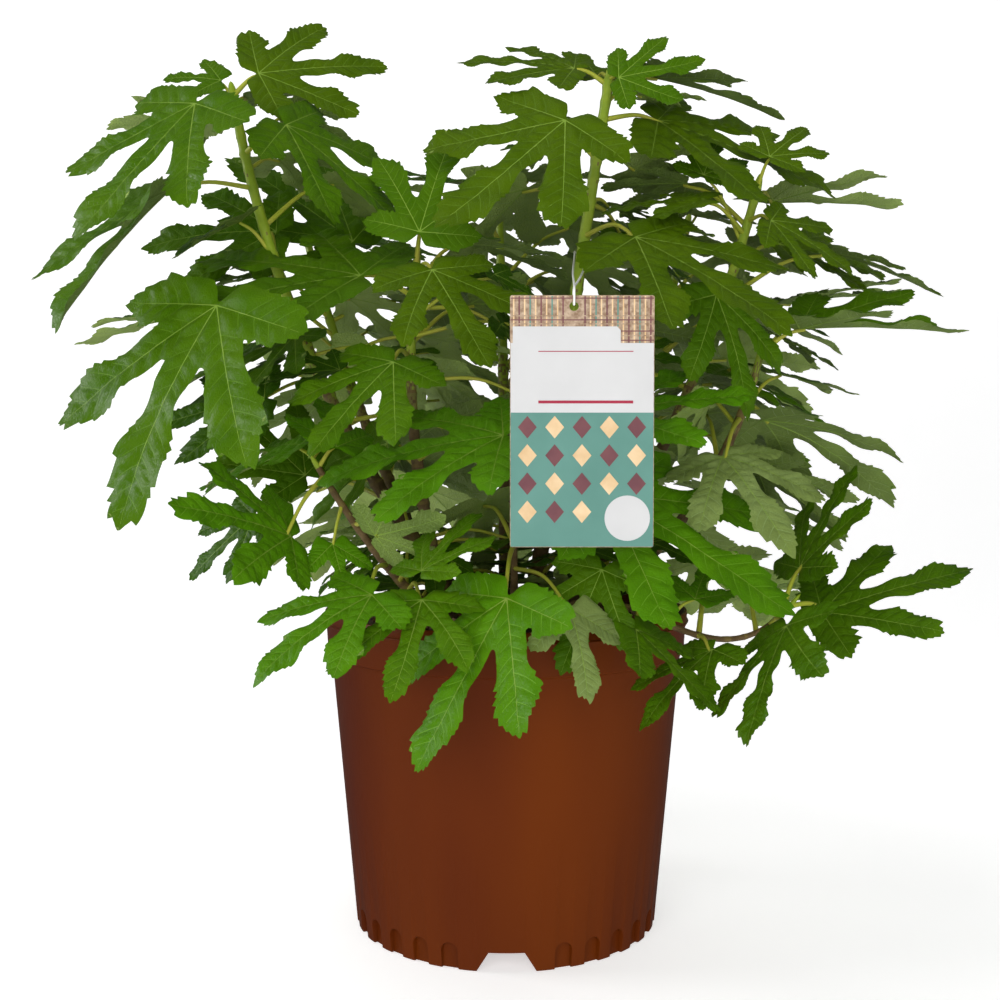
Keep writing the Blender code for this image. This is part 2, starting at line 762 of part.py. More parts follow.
class Plant:
    """The canes, their shoots and all their leaves."""

    def __init__(self, space: Space) -> None:
        """Start a plant in a space where the pot, the soil and the tag already stand."""
        self.space = space
        self.random = random.Random(SEED)
        self.grown: dict[str, list[Leaf]] = {cane.name: [] for cane in CANES}
        self.left_out = 0

    def foot_mesh(self, cane: Cane) -> tuple[list[Vector], list[list[int]]]:
        """The bare foot of a cane, from its flat cut on the soil to where leaves start."""
        stops = [0, 0.03, 0.07, *steps(4, 0.13, cane.leafy_from)]
        path = [cane.point(t) for t in stops]
        path[0] = Vector((path[0].x, path[0].y, SOIL_TOP + GAP))
        headings = [cane.heading(t) for t in stops]
        radii = [cane.radius(t) for t in stops]
        return tube_mesh(path, radii, CANE_SIDES, headings, flat_foot=True)

    def shoot_mesh(self, cane: Cane) -> tuple[list[Vector], list[list[int]]]:
        """The leafy shoot that carries a cane on to its tip."""
        stops = steps(7, cane.leafy_from, 1.0)
        path = [cane.point(t) for t in stops]
        headings = [cane.heading(t) for t in stops]
        path[0] = path[0] + headings[0] * GAP
        return tube_mesh(path, [cane.radius(t) for t in stops], SHOOT_SIDES, headings)

    def stalk_mesh(self, cane: Cane, leaf: Leaf) -> tuple[list[Vector], list[list[int]]]:
        """A leaf stalk."""
        path = stalk_path(cane, leaf)
        thin = min(1.0, 0.5 + leaf.blade / 160)
        radii = [STALK_FOOT * thin, STALK_TOP * thin, STALK_END * thin]
        return tube_mesh(path, radii, STALK_SIDES)

    def fits(self, cane: Cane, leaf: Leaf) -> str:
        """What a leaf with its stalk would touch, or nothing."""
        blade = leaf_mesh(leaf)
        found = self.space.clash(*blade, LEAF_SPACE)
        if found:
            return found
        own_limb = (("shoot", cane.name), ("cane", cane.name))
        path = stalk_path(cane, leaf)
        free = [path[0].lerp(path[1], 0.08), path[1], path[2]]
        points, faces = tube_mesh(free, [STALK_FOOT] * 3, STALK_SIDES)
        return self.space.clash(points, faces, LIMB_SPACE, own_limb)

    def accept(self, cane: Cane, leaf: Leaf) -> None:
        """Give a leaf its room and put it on its cane."""
        self.space.add("leaf", cane.name, *leaf_mesh(leaf))
        path = stalk_path(cane, leaf)
        free = [path[0].lerp(path[1], 0.08), path[1], path[2]]
        points, faces = tube_mesh(free, [STALK_FOOT] * 3, STALK_SIDES)
        self.space.add("stalk", cane.name, points, faces)
        self.grown[cane.name].append(leaf)

    def place_limbs(self) -> None:
        """Give the canes and shoots their room before any leaf."""
        for cane in CANES:
            self.space.add("cane", cane.name, *self.foot_mesh(cane))
            self.space.add("shoot", cane.name, *self.shoot_mesh(cane))

    def place_seen_leaves(self) -> None:
        """Place the leaves that the photo shows."""
        for cane in CANES:
            for leaf in cane.leaves:
                for placed in nudged(leaf):
                    found = self.fits(cane, placed)
                    if not found:
                        if placed.hub != leaf.hub:
                            print("moved", cane.name, leaf.hub, placed.hub[1] - leaf.hub[1])
                        self.accept(cane, placed)
                        break
                else:
                    print("seen leaf", cane.name, leaf.hub, "touches", found)
                    self.left_out += 1

    def rule_leaf(self, cane: Cane, number: int, attempt: int) -> Leaf:
        """One try at a leaf by the rule: each next leaf turns by the golden angle."""
        spread = cane.spread
        part = (number + 0.5) / spread.count
        at = spread.start + (0.98 - spread.start) * part
        swing = ((number * GOLDEN_DEG + attempt * 41) % 360) / 180 - 1
        turn = spread.turn + swing * spread.swing
        stalk = (95 - 50 * part) * self.random.uniform(0.75, 1.2)
        rise = math.radians(5 + 40 * part + self.random.uniform(-12, 12))
        heading = math.radians(turn)
        foot = cane.point(at) / MM
        hub = (
            foot.x + stalk * math.cos(heading) * math.cos(rise),
            foot.y + stalk * math.sin(heading) * math.cos(rise),
            foot.z + stalk * math.sin(rise),
        )
        return Leaf(
            at, hub, (124 - 34 * part) * self.random.uniform(0.82, 1.08) * (1 - 0.006 * attempt),
            turn + self.random.uniform(-30, 30),
            34 - 30 * part + self.random.uniform(-12, 16),
            self.random.uniform(-22, 22),
            form=PLAIN,
            vee=VEE_START + VEE_STEP * (number % 4),
        )

    def place_rule_leaves(self) -> None:
        """Fill the crown behind and inside by the rule, skipping what would touch."""
        for cane in CANES:
            for number in range(cane.spread.count):
                for attempt in range(RULE_TRIES):
                    leaf = self.rule_leaf(cane, number, attempt)
                    points, _ = leaf_mesh(leaf)
                    if not all(inside_crown(p) for p in points):
                        continue
                    if not self.fits(cane, leaf):
                        self.accept(cane, leaf)
                        break
                else:
                    self.left_out += 1

    def build(self) -> None:
        """Build every limb and every mass."""
        for cane in CANES:
            foot = mesh_object(f"cane_{cane.name}", *self.foot_mesh(cane))
            dress(foot, BARK, Vector(cane.foot) * MM, smooth=True)
            mass = mesh_object(f"foliage_{cane.name}", *self.shoot_mesh(cane))
            pieces = []
            for leaf in self.grown[cane.name]:
                pieces.append(mesh_object("stalk", *self.stalk_mesh(cane, leaf)))
                pieces.append(mesh_object("leaf", *leaf_mesh(leaf)))
            combine(mass, pieces, "UNION")
            keep_largest(mass)
            dress(mass, LEAF_GREEN, cane.point(cane.leafy_from), smooth=False)


def inside_crown(point: Vector) -> bool:
    """Whether a point lies in the space of the crown that the rule may fill."""
    if point.y < -0.075 or point.z < 0.165:
        return False
    wide = point.x / 0.275
    deep = (point.y - 0.06) / 0.235
    high = (point.z - 0.34) / (0.20 if point.z > 0.34 else 0.24)
    return wide * wide + deep * deep + high * high < 1


def build_tag() -> bpy.types.Object:
    """The hang tag, a flat card with its hole."""
    x, y, z = TAG_CENTRE
    half_w, half_h, half_t = TAG_WIDTH / 2, TAG_HEIGHT / 2, TAG_THICKNESS / 2
    points = []
    for depth in (y - half_t, y + half_t):
        for sx, sz in ((-1, -1), (1, -1), (1, 1), (-1, 1)):
            points.append(Vector((x + sx * half_w, depth, z + sz * half_h)))
    faces = [[0, 1, 2, 3], [7, 6, 5, 4], [0, 4, 5, 1], [1, 5, 6, 2], [2, 6, 7, 3], [3, 7, 4, 0]]
    tag = mesh_object("hang_tag", points, faces)
    hole_x, hole_z = x + TAG_HOLE_OFFSET, z + half_h - TAG_HOLE_DROP
    ring = []
    for depth in (y - 5 * MM, y + 5 * MM):
        for k in range(16):
            angle = 2 * math.pi * k / 16
            ring.append(
                Vector((hole_x + TAG_HOLE_RADIUS * math.cos(angle), depth,
                        hole_z + TAG_HOLE_RADIUS * math.sin(angle)))
            )
    sides = [[k, (k + 1) % 16, 16 + (k + 1) % 16, 16 + k] for k in range(16)]
    cutter = mesh_object("hole", ring, [list(range(16))[::-1], list(range(16, 32)), *sides])
    combine(tag, [cutter], "DIFFERENCE")
    keep_largest(tag)
    dress(tag, TAG_CARD, Vector(TAG_CENTRE), smooth=False)
    return tag


def loop_path() -> list[Vector]:
    """Middle line of the closed loop, through the tag's hole and round the middle cane."""
    cane = next(c for c in CANES if c.name == "middle_tall")
    round_cane = cane.point(LOOP_HEIGHT_ON_CANE)
    cane_gap = cane.radius(LOOP_HEIGHT_ON_CANE) + GAP + LOOP_RADIUS + 0.3 * MM
    x, y, z = TAG_CENTRE
    hole = Vector((x + TAG_HOLE_OFFSET, y, z + TAG_HEIGHT / 2 - TAG_HOLE_DROP))
    low = hole + Vector((0, 0, TAG_HOLE_RADIUS - GAP - LOOP_RADIUS - 0.15 * MM))
    tag_gap = TAG_THICKNESS / 2 + GAP + LOOP_RADIUS + 0.15 * MM
    above = Vector((hole.x, y, z + TAG_HEIGHT / 2 + 4 * MM))
    path = []
    for k in range(5):
        angle = math.pi * k / 4
        path.append(low + Vector((0, tag_gap * math.cos(angle), 0))
                    - Vector((0, 0, 0.35 * tag_gap * math.sin(angle))))
    strand = []
    for part in steps(7, 0.0, 1.0):
        turn = math.radians(90) * min(part * 2.5, 1)
        gap = tag_gap + (cane_gap - tag_gap) * part
        off = Vector((-math.sin(turn), -math.cos(turn), 0)) * gap
        strand.append((above.lerp(round_cane, part), off))
    path += [centre + off for centre, off in strand]
    for k in range(1, 6):
        angle = math.pi * k / 6
        path.append(round_cane + Vector((-math.cos(angle), math.sin(angle), 0)) * cane_gap)
    path += [centre - off for centre, off in reversed(strand)]
    return path


def build_loop() -> bpy.types.Object:
    """The thin closed loop that holds the tag."""
    path = loop_path()
    points, faces = tube_mesh(path, [LOOP_RADIUS] * len(path), LOOP_SIDES, closed=True)
    loop = mesh_object("tag_loop", points, faces)
    dress(loop, LOOP_PLASTIC, path[0], smooth=True)
    return loop


def object_mesh(obj: bpy.types.Object) -> tuple[list[Vector], list[list[int]]]:
    """An object's points and faces."""
    points = [v.co + obj.location for v in obj.data.vertices]
    return points, [list(p.vertices) for p in obj.data.polygons]


def main() -> None:
    """Build the pot, the soil, the tag and the plant."""
    tidy_scene()
    space = Space()
    for obj in (build_pot(), build_soil(), build_tag(), build_loop()):
        space.add(obj.name, obj.name, *object_mesh(obj))
    plant = Plant(space)
    plant.place_limbs()
    plant.place_seen_leaves()
    plant.place_rule_leaves()
    plant.build()
    total = 0
    for obj in bpy.context.scene.objects:
        faces = len(obj.data.polygons)
        total += faces
        print(obj.name, faces)
    print("leaves", {name: len(grown) for name, grown in plant.grown.items()})
    print("left out", plant.left_out, "triangles", total)


main()
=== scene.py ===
"""The looks of the potted fig tree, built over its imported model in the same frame.

The canes, leaf stalks and leaves grow here by the rule of the part's source.  A leaf of that rule
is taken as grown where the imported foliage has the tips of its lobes.  Metres, +Z up, -Y to the
camera.
"""
import logging
import math
import random
from dataclasses import dataclass, field, replace
from enum import Enum

import bmesh
import bpy
import numpy as np
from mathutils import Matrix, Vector
from mathutils.bvhtree import BVHTree
from mathutils.geometry import delaunay_2d_cdt
from mathutils.kdtree import KDTree

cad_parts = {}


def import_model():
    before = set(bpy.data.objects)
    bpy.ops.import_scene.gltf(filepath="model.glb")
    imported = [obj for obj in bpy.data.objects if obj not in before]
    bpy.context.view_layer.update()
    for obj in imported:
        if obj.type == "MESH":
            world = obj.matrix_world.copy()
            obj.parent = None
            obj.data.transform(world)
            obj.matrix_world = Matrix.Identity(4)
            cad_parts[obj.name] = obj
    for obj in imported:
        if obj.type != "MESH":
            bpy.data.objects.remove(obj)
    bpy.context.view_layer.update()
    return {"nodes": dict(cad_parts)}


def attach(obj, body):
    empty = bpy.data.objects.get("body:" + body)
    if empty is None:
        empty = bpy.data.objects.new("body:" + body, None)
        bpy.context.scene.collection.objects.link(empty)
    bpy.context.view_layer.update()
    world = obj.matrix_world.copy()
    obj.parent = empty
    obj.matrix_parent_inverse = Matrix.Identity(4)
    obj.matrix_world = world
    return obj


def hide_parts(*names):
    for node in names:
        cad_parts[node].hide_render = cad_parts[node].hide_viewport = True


LOG = logging.getLogger("potted_fig")

MM = 0.001
SEED = 31
BODY = "root"

# The source's names and sizes
POT_HEIGHT = 210 * MM
SOIL_TOP = 212 * MM
GAP = 0.3 * MM
FLARE = 1.7
FLARE_HEIGHT = 14 * MM
LEAF_FOLD = 0.12
VEE_START = 0.03
VEE_STEP = 0.05
GOLDEN_DEG = 137.5
NUDGES_MM = (0, -7, 7, -14, 14, -21, 21, -28, 28, -35, 35)
NUDGES_DEG = (0, -7, 7)
RULE_TRIES = 48
TAG_CENTRE = (41 * MM, -158 * MM, 332 * MM)
LOOP_HEIGHT_ON_CANE = 0.69

# Smaller leaves that the scene adds inside each mass, at most
INNER_LEAVES = 16
LOW_LEAVES = 7

# How near a lobe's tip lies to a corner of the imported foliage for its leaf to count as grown
TIP_MATCH = 0.2 * MM


class Tint(Enum):
    """A leaf's upper side: a leaf green, or painted shade, painted light or a painted sheen."""

    # Painted shade: a darker green for leaves at the back of the crown and inside it
    PAINTED_SHADE = 0
    OLIVE = 1
    MID = 2
    FRESH = 3
    # Painted light: a brighter green for low front leaves that lie in shade
    PAINTED_LIGHT = 4
    # Painted sheen: a greyish green that stands for a glossy reflection
    PAINTED_SHEEN = 5


# Tints of each cane's leaves: of most of them, and of the rest. They are dealt out by place, as painted light
# on the low front canes and painted shade on the back ones.
TONES = {
    "left_tall": (Tint.MID, Tint.FRESH),
    "middle_front": (Tint.MID, Tint.OLIVE),
    "middle_tall": (Tint.OLIVE, Tint.MID),
    "right_outer": (Tint.MID, Tint.FRESH),
    "right_tall": (Tint.OLIVE, Tint.MID),
    "low_right": (Tint.MID, Tint.PAINTED_SHADE),
    "low_left": (Tint.PAINTED_LIGHT, Tint.FRESH),
    "low_front": (Tint.PAINTED_LIGHT, Tint.FRESH),
    "back_left": (Tint.PAINTED_SHADE, Tint.MID),
    "back_middle": (Tint.PAINTED_SHADE, Tint.OLIVE),
    "back_right": (Tint.PAINTED_SHADE, Tint.OLIVE),
}

# Single leaves, by their hub's x and z in mm, that stand out from their cane's. Four leaves in shade get
# painted light, two a painted sheen.
STANDING_OUT = {
    (-2, 325): Tint.PAINTED_LIGHT,
    (57, 339): Tint.PAINTED_LIGHT,
    (61, 289): Tint.PAINTED_LIGHT,
    (114, 226): Tint.PAINTED_LIGHT,
    (-163, 564): Tint.OLIVE,
    (134, 312): Tint.PAINTED_SHEEN,
    (36, 226): Tint.PAINTED_SHEEN,
    (56, 246): Tint.MID,
}


@dataclass(frozen=True)
class Lobe:
    """One lobe of a fig leaf, its angle from the middle rib and sizes as parts of the blade."""

    angle: float
    length: float
    width: float
    neck: float


@dataclass(frozen=True)
class LeafForm:
    """A leaf's outline: its lobes from right to left, the bays between them and its heels."""

    lobes: tuple[Lobe, ...]
    bays: tuple[float, ...]
    heel_angle: float
    heel: float


FIVE = LeafForm(
    lobes=(
        Lobe(-84, 0.47, 0.115, 0.0),
        Lobe(-39, 0.81, 0.125, 0.088),
        Lobe(0, 1.0, 0.135, 0.082),
        Lobe(39, 0.81, 0.125, 0.088),
        Lobe(84, 0.47, 0.115, 0.0),
    ),
    bays=(0.27, 0.31, 0.31, 0.27),
    heel_angle=136,
    heel=0.16,
)
THREE = LeafForm(
    lobes=(Lobe(-50, 0.68, 0.14, 0.0), Lobe(0, 1.0, 0.15, 0.09), Lobe(50, 0.68, 0.14, 0.0)),
    bays=(0.32, 0.32),
    heel_angle=118,
    heel=0.26,
)


def polar(angle: float, radius: float, across: float = 0) -> np.ndarray:
    """Flat leaf point at a radius along an angle in degrees, moved across to the left."""
    turn = math.radians(angle)
    return np.array((
        radius * math.cos(turn) - across * math.sin(turn),
        radius * math.sin(turn) + across * math.cos(turn),
    ))


@dataclass(frozen=True)
class Leaf:
    """A leaf and its stalk, as in the part's source.

    Attributes:
        at: Where its stalk leaves the cane, 0 at the soil and 1 at the cane's tip.
        hub: Where its stalk meets its blade, in mm.
        blade: Length of the middle rib, in mm.
        turn: Compass heading of the middle rib, 0 to the right and -90 to the viewer.
        dip: How far the middle rib points down, in degrees.
        roll: How far the blade is rolled about its middle rib, in degrees.
        droop: How far the tip hangs below the rib's first line, as a part of the blade.
        form: The outline.
        vee: How steeply the two halves rise from the middle rib.
    """

    at: float
    hub: tuple[float, float, float]
    blade: float
    turn: float
    dip: float
    roll: float
    droop: float = 0.12
    form: LeafForm = FIVE
    vee: float = 0.0

    def axes(self) -> tuple[Vector, Vector, Vector]:
        """The middle rib's direction, the direction to its left and the blade's upper side."""
        turn, dip, roll = (math.radians(v) for v in (self.turn, self.dip, self.roll))
        flat = math.cos(dip)
        rib = Vector((math.cos(turn) * flat, math.sin(turn) * flat, -math.sin(dip)))
        level = Vector((-math.sin(turn), math.cos(turn), 0))
        left = level * math.cos(roll) + rib.cross(level) * math.sin(roll)
        return rib, left, rib.cross(left)

    def on_plain_blade(self, a: float, b: float) -> Vector:
        """Place of a flat leaf point on the drooping blade, folded only at its middle rib."""
        rib, left, upper = self.axes()
        slim = b / math.hypot(1, self.vee)
        height = self.vee * abs(slim) - self.droop * (a * a + b * b)
        return (Vector(self.hub) + (rib * a + left * slim + upper * height) * self.blade) * MM

    def tips(self) -> list[Vector]:
        """Where the lobes of the source's plain leaf end."""
        return [self.on_plain_blade(*polar(lobe.angle, lobe.length)) for lobe in self.form.lobes]

    def plate(self) -> tuple[list[Vector], list[tuple[int, int, int]]]:
        """Points and triangles of the plain blade, from its hub out."""
        flat = [(0.0, 0.0)]
        for k, lobe in enumerate(self.form.lobes):
            shoulder, neck = (0.74 * lobe.length, lobe.width), (0.46 * lobe.length, lobe.neck)
            rows = [(along, -across) for along, across in (neck, shoulder)]
            rows += [(lobe.length, 0), shoulder, neck]
            flat += [polar(lobe.angle, *row) for row in (rows if lobe.neck else rows[1:4])]
            if k < len(self.form.bays):
                flat.append(polar((lobe.angle + self.form.lobes[k + 1].angle) / 2, self.form.bays[k]))
        points = [self.on_plain_blade(a, b) for a, b in flat]
        return points, [(0, k, k + 1) for k in range(1, len(points) - 1)]


@dataclass(frozen=True)
class Spread:
    """The leaves a cane grows by rule: how many, over which stretch, and which way they face."""

    count: int
    start: float
    turn: float
    swing: float


@dataclass(frozen=True)
class Cane:
    """One cane from the soil to its tip, with points in mm and its leaves."""

    name: str
    foot: tuple[float, float, float]
    knees: tuple[tuple[float, float, float], ...]
    tip: tuple[float, float, float]
    thickness: float
    leafy_from: float
    leaves: tuple[Leaf, ...]
    spread: Spread

    def point(self, t: float) -> Vector:
        """Place on the cane's middle line at part t of its way, by repeated halving."""
        row = [Vector(p) * MM for p in (self.foot, *self.knees, self.tip)]
        while len(row) > 1:
            row = [a.lerp(b, t) for a, b in zip(row, row[1:])]
        return row[0]

    def heading(self, t: float) -> Vector:
        """Direction of the cane's middle line at t."""
        return (self.point(min(t + 0.01, 1)) - self.point(max(t - 0.01, 0))).normalized()

    def radius(self, t: float) -> float:
        """Half the cane's thickness at t, with the root flare at its foot."""
        rise = (self.point(t).z - SOIL_TOP) / FLARE_HEIGHT
        flare = (FLARE - 1) * math.exp(-2.5 * max(rise, 0)) if t < 0.3 else 0
        return self.thickness * MM / 2 * (1 - 0.42 * t + flare)


CANES = (
    Cane(
        "left_tall", (-32, 18, 212), ((-150, 5, 360),), (-182, 0, 552), 10.5, 0.30,
        (
            Leaf(0.985, (-195, -52, 533), 118, -145, 48, -23, 0.08),
            Leaf(0.84, (-220, -20, 486), 134, -124, 34, 15, vee=0.30),
            Leaf(1.0, (-163, -10, 564), 88, 20, -12, 56, 0.03),
            Leaf(0.98, (-180, 24, 557), 72, 50, -12, 0, form=THREE),
            Leaf(0.99, (-190, -8, 562), 40, 178, -10, -52, form=THREE),
            Leaf(0.97, (-204, 26, 545), 78, 165, -4, 8, form=THREE),
            Leaf(0.90, (-139, -47, 521), 100, 5, 35, 38),
            Leaf(0.77, (-122, 25, 500), 105, 30, 4, 0),
            Leaf(0.70, (-160, 20, 468), 96, 178, -2, -52),
            Leaf(0.55, (-174, -90, 403), 148, -137, 56, -19, 0.09),
            Leaf(0.62, (-196, 20, 412), 108, 172, 6, 0),
        ),
        Spread(6, 0.34, 130, 110),
    ),
    Cane(
        "middle_front", (-40, -12, 212), ((-72, -20, 330),), (-58, -30, 437), 9.0, 0.36,
        (
            Leaf(1.0, (-54, -60, 452), 80, 50, -68, 30),
            Leaf(0.97, (-45, -85, 425), 84, -57, 41, 17, 0.11),
            Leaf(0.90, (-91, -66, 425), 140, 155, -6, -28, 0.14),
            Leaf(0.72, (-68, -92, 369), 84, -136, 38, -21, 0.09),
            Leaf(0.42, (-2, -98, 325), 118, 172, 6, -30, 0.16),
        ),
        Spread(4, 0.40, 60, 120),
    ),
    Cane(
        "middle_tall", (20, 15, 212), ((40, 8, 380),), (67, -20, 557), 11.0, 0.20,
        (
            Leaf(0.99, (44, -24, 563), 78, 174, -12, -34),
            Leaf(1.0, (62, 8, 566), 64, 105, -38, 0, form=THREE),
            Leaf(1.0, (72, -35, 554), 56, -8, -10, 62),
            Leaf(0.985, (88, -42, 550), 46, -25, 2, 0, form=THREE),
            Leaf(0.96, (100, 22, 571), 94, 0, 11, 16, vee=0.30),
            Leaf(0.93, (100, -46, 533), 128, -6, 18, 33),
            Leaf(0.90, (36, -70, 518), 110, -148, 39, -38, 0.09),
            Leaf(0.87, (84, -18, 506), 74, 8, -2, -14, form=THREE),
            Leaf(0.78, (78, 34, 468), 108, -4, 36, 18),
            Leaf(0.72, (78, -82, 445), 116, -33, 28, 25, 0.09),
            Leaf(0.36, (57, -84, 339), 96, -16, -10, 30),
        ),
        Spread(5, 0.26, 100, 150),
    ),
    Cane(
        "right_outer", (55, -10, 212), ((140, -20, 270),), (165, -30, 378), 8.5, 0.20,
        (
            Leaf(1.0, (188, -40, 394), 102, -25, -2, 14, vee=0.42),
            Leaf(0.92, (150, 12, 372), 84, -22, 22, 4),
            Leaf(0.85, (170, -16, 336), 112, 18, 14, -12, 0.28),
            Leaf(0.80, (134, -70, 312), 82, -70, 26, 14, 0.28),
            Leaf(0.25, (61, -114, 289), 130, -27, 26, 30),
        ),
        Spread(5, 0.30, 40, 90),
    ),
    Cane(
        "right_tall", (48, 22, 212), ((130, 0, 340),), (164, -20, 487), 9.5, 0.30,
        (
            Leaf(0.62, (132, -46, 414), 82, -37, 66, 20, 0.15),
            Leaf(0.88, (130, -20, 497), 45, 55, -60, 34),
            Leaf(1.0, (168, -18, 503), 50, 39, -36, 34),
            Leaf(0.97, (184, 16, 490), 104, 15, -6, 2, vee=0.28),
            Leaf(0.93, (166, -54, 460), 62, -5, 27, 40),
            Leaf(0.90, (126, -48, 474), 68, 168, -2, -22, form=THREE),
            Leaf(0.82, (188, 24, 458), 88, 12, 10, 34, vee=0.10),
            Leaf(0.75, (214, -4, 447), 78, -14, 17, 8, vee=0.20),
            Leaf(0.68, (196, 16, 418), 98, 17, -12, 2, vee=0.16),
        ),
        Spread(5, 0.36, 60, 110),
    ),
    Cane(
        "low_right", (35, -48, 212), ((75, -92, 248), (120, -108, 168)), (172, -90, 222), 5.0, 0.30,
        (
            Leaf(0.96, (182, -72, 243), 78, 22, -62, -7),
            Leaf(1.0, (195, -76, 216), 94, -10, -22, 30),
            Leaf(0.92, (158, -114, 217), 82, -125, 37, 32),
            Leaf(0.62, (119, -126, 201), 66, -153, 31, 0),
            Leaf(0.48, (114, -92, 226), 42, 70, -30, 16, form=THREE),
            Leaf(0.36, (72, -128, 216), 64, -35, 42, 0, form=THREE),
        ),
        Spread(2, 0.5, 60, 60),
    ),
    Cane(
        "low_left", (-50, -42, 212), ((-85, -60, 250),), (-118, -60, 305), 6.5, 0.14,
        (
            Leaf(0.95, (-131, -88, 264), 86, -130, -20, -50),
            Leaf(0.38, (-78, -128, 233), 84, -150, 22, -18, 0.15),
            Leaf(0.78, (-108, -92, 258), 42, -60, 50, 0, form=THREE),
            Leaf(1.0, (-107, -56, 318), 58, 109, -40, 14, form=THREE),
            Leaf(0.66, (-80, -98, 264), 58, -30, -14, -52),
            Leaf(0.26, (-49, -122, 247), 58, 48, -46, 0),
            Leaf(0.18, (-49, -128, 230), 74, -100, 34, 0),
        ),
        Spread(2, 0.5, 150, 60),
    ),
    Cane(
        "low_front", (5, -50, 212), ((5, -58, 235),), (5, -64, 264), 6.0, 0.30,
        (
            Leaf(0.9, (0, -130, 232), 108, -144, 53, -10, 0.10),
            Leaf(1.0, (56, -112, 246), 66, -140, 58, -28),
            Leaf(0.6, (36, -128, 226), 56, -70, 50, 0, form=THREE),
        ),
        Spread(1, 0.8, 90, 60),
    ),
    Cane(
        "back_left", (-45, 50, 212), ((-110, 90, 330),), (-150, 120, 470), 9.5, 0.22,
        (
            Leaf(0.93, (-113, 74, 470), 118, 178, -38, -48),
            Leaf(0.60, (-166, 18, 352), 92, 172, 10, -42),
            Leaf(0.52, (-143, 48, 298), 80, 166, -42, -50),
            Leaf(0.34, (-176, 30, 270), 64, -172, 40, -40),
        ),
        Spread(14, 0.26, 120, 130),
    ),
    Cane(
        "back_middle", (0, 55, 212), ((0, 110, 340),), (-5, 130, 520), 10.0, 0.20,
        (),
        Spread(17, 0.24, 90, 160),
    ),
    Cane(
        "back_right", (40, 52, 212), ((105, 100, 330),), (140, 125, 490), 9.5, 0.22,
        (),
        Spread(16, 0.26, 50, 130),
    ),
)


# Mesh making


class Patchwork:
    """Collects patches of mesh that are joined into one piece."""

    def __init__(self) -> None:
        """Start with no patch."""
        self.points: list[np.ndarray] = []
        self.faces: list[tuple[np.ndarray, np.ndarray]] = []
        self.total = 0

    def add(self, points: np.ndarray, faces: np.ndarray, slot: int | np.ndarray = 0) -> None:
        """Add a patch.

        Args:
            points: Its corners, one row each.
            faces: Its triangles or its quads, as rows of corner numbers.
            slot: The finish of all its faces, or of each.
        """
        slots = np.broadcast_to(np.asarray(slot, np.int32), (len(faces),))
        self.points.append(np.asarray(points, np.float64))
        self.faces.append((np.asarray(faces, np.int64) + self.total, slots))
        self.total += len(points)

    def piece(self, name: str, finishes: list["Finish"], sharp_deg: float = 60) -> bpy.types.Object:
        """Join the patches into one object.

        Args:
            name: The piece's name.
            finishes: Its finishes, in the order of the slots.
            sharp_deg: Folds sharper than this stay sharp in the shading.

        Returns:
            The object, riding on the plant's body.
        """
        points = np.concatenate(self.points)
        sizes = np.concatenate([np.full(len(f), f.shape[1], np.int32) for f, _ in self.faces])
        corners = np.concatenate([f.ravel() for f, _ in self.faces]).astype(np.int32)
        slots = np.concatenate([s for _, s in self.faces]).astype(np.int32)
        mesh = bpy.data.meshes.new(name)
        mesh.vertices.add(len(points))
        mesh.vertices.foreach_set("co", points.astype(np.float32).ravel())
        mesh.loops.add(len(corners))
        mesh.loops.foreach_set("vertex_index", corners)
        mesh.polygons.add(len(sizes))
        starts = np.concatenate([[0], np.cumsum(sizes)[:-1]]).astype(np.int32)
        mesh.polygons.foreach_set("loop_start", starts)
        mesh.polygons.foreach_set("material_index", slots)
        mesh.update(calc_edges=True)
        mesh.validate()
        mesh.shade_smooth()
        mesh.set_sharp_from_angle(angle=math.radians(sharp_deg))
        self.part_crowded_edges(mesh)
        for finish in finishes:
            mesh.materials.append(finish.material())
        obj = bpy.data.objects.new(name, mesh)
        bpy.context.scene.collection.objects.link(obj)
        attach(obj, BODY)
        triangles = int((sizes - 2).sum())
        LOG.info("%s: %d triangles", name, triangles)
        return obj

    def part_crowded_edges(self, mesh: bpy.types.Mesh) -> None:
        """Mark as sharp the edges where more than two faces meet."""
        used = np.zeros(len(mesh.loops), np.int32)
        mesh.loops.foreach_get("edge_index", used)
        sharp = np.zeros(len(mesh.edges), bool)
        mesh.edges.foreach_get("use_edge_sharp", sharp)
        sharp |= np.bincount(used, minlength=len(mesh.edges)) > 2
        mesh.edges.foreach_set("use_edge_sharp", sharp)


def tube(path: np.ndarray, radii: np.ndarray, sides: int) -> tuple[np.ndarray, np.ndarray]:
    """Points and quads of a round tube along a path.

    Args:
        path: The middle line, one row a ring.
        radii: One radius a ring, or one a corner of each ring.
        sides: Corners in a ring.

    Returns:
        The points and the quads, open at both ends.
    """
    count = len(path)
    ahead = np.gradient(path, axis=0)
    ahead /= np.linalg.norm(ahead, axis=1, keepdims=True)
    side = np.array([1.0, 0.0, 0.0])
    turn = np.linspace(0, 2 * np.pi, sides, endpoint=False)
    radii = np.asarray(radii, float)
    radii = radii[:, None] * np.ones(sides) if radii.ndim == 1 else radii
    rings = []
    for i in range(count):
        side = side - ahead[i] * side.dot(ahead[i])
        side /= np.linalg.norm(side)
        up = np.cross(ahead[i], side)
        ring = np.cos(turn)[:, None] * side + np.sin(turn)[:, None] * up
        rings.append(path[i] + ring * radii[i][:, None])
    k = np.arange(sides)
    m = (k + 1) % sides
    quads = [
        np.stack([i * sides + k, i * sides + m, (i + 1) * sides + m, (i + 1) * sides + k], 1)
        for i in range(count - 1)
    ]
    return np.concatenate(rings), np.concatenate(quads)


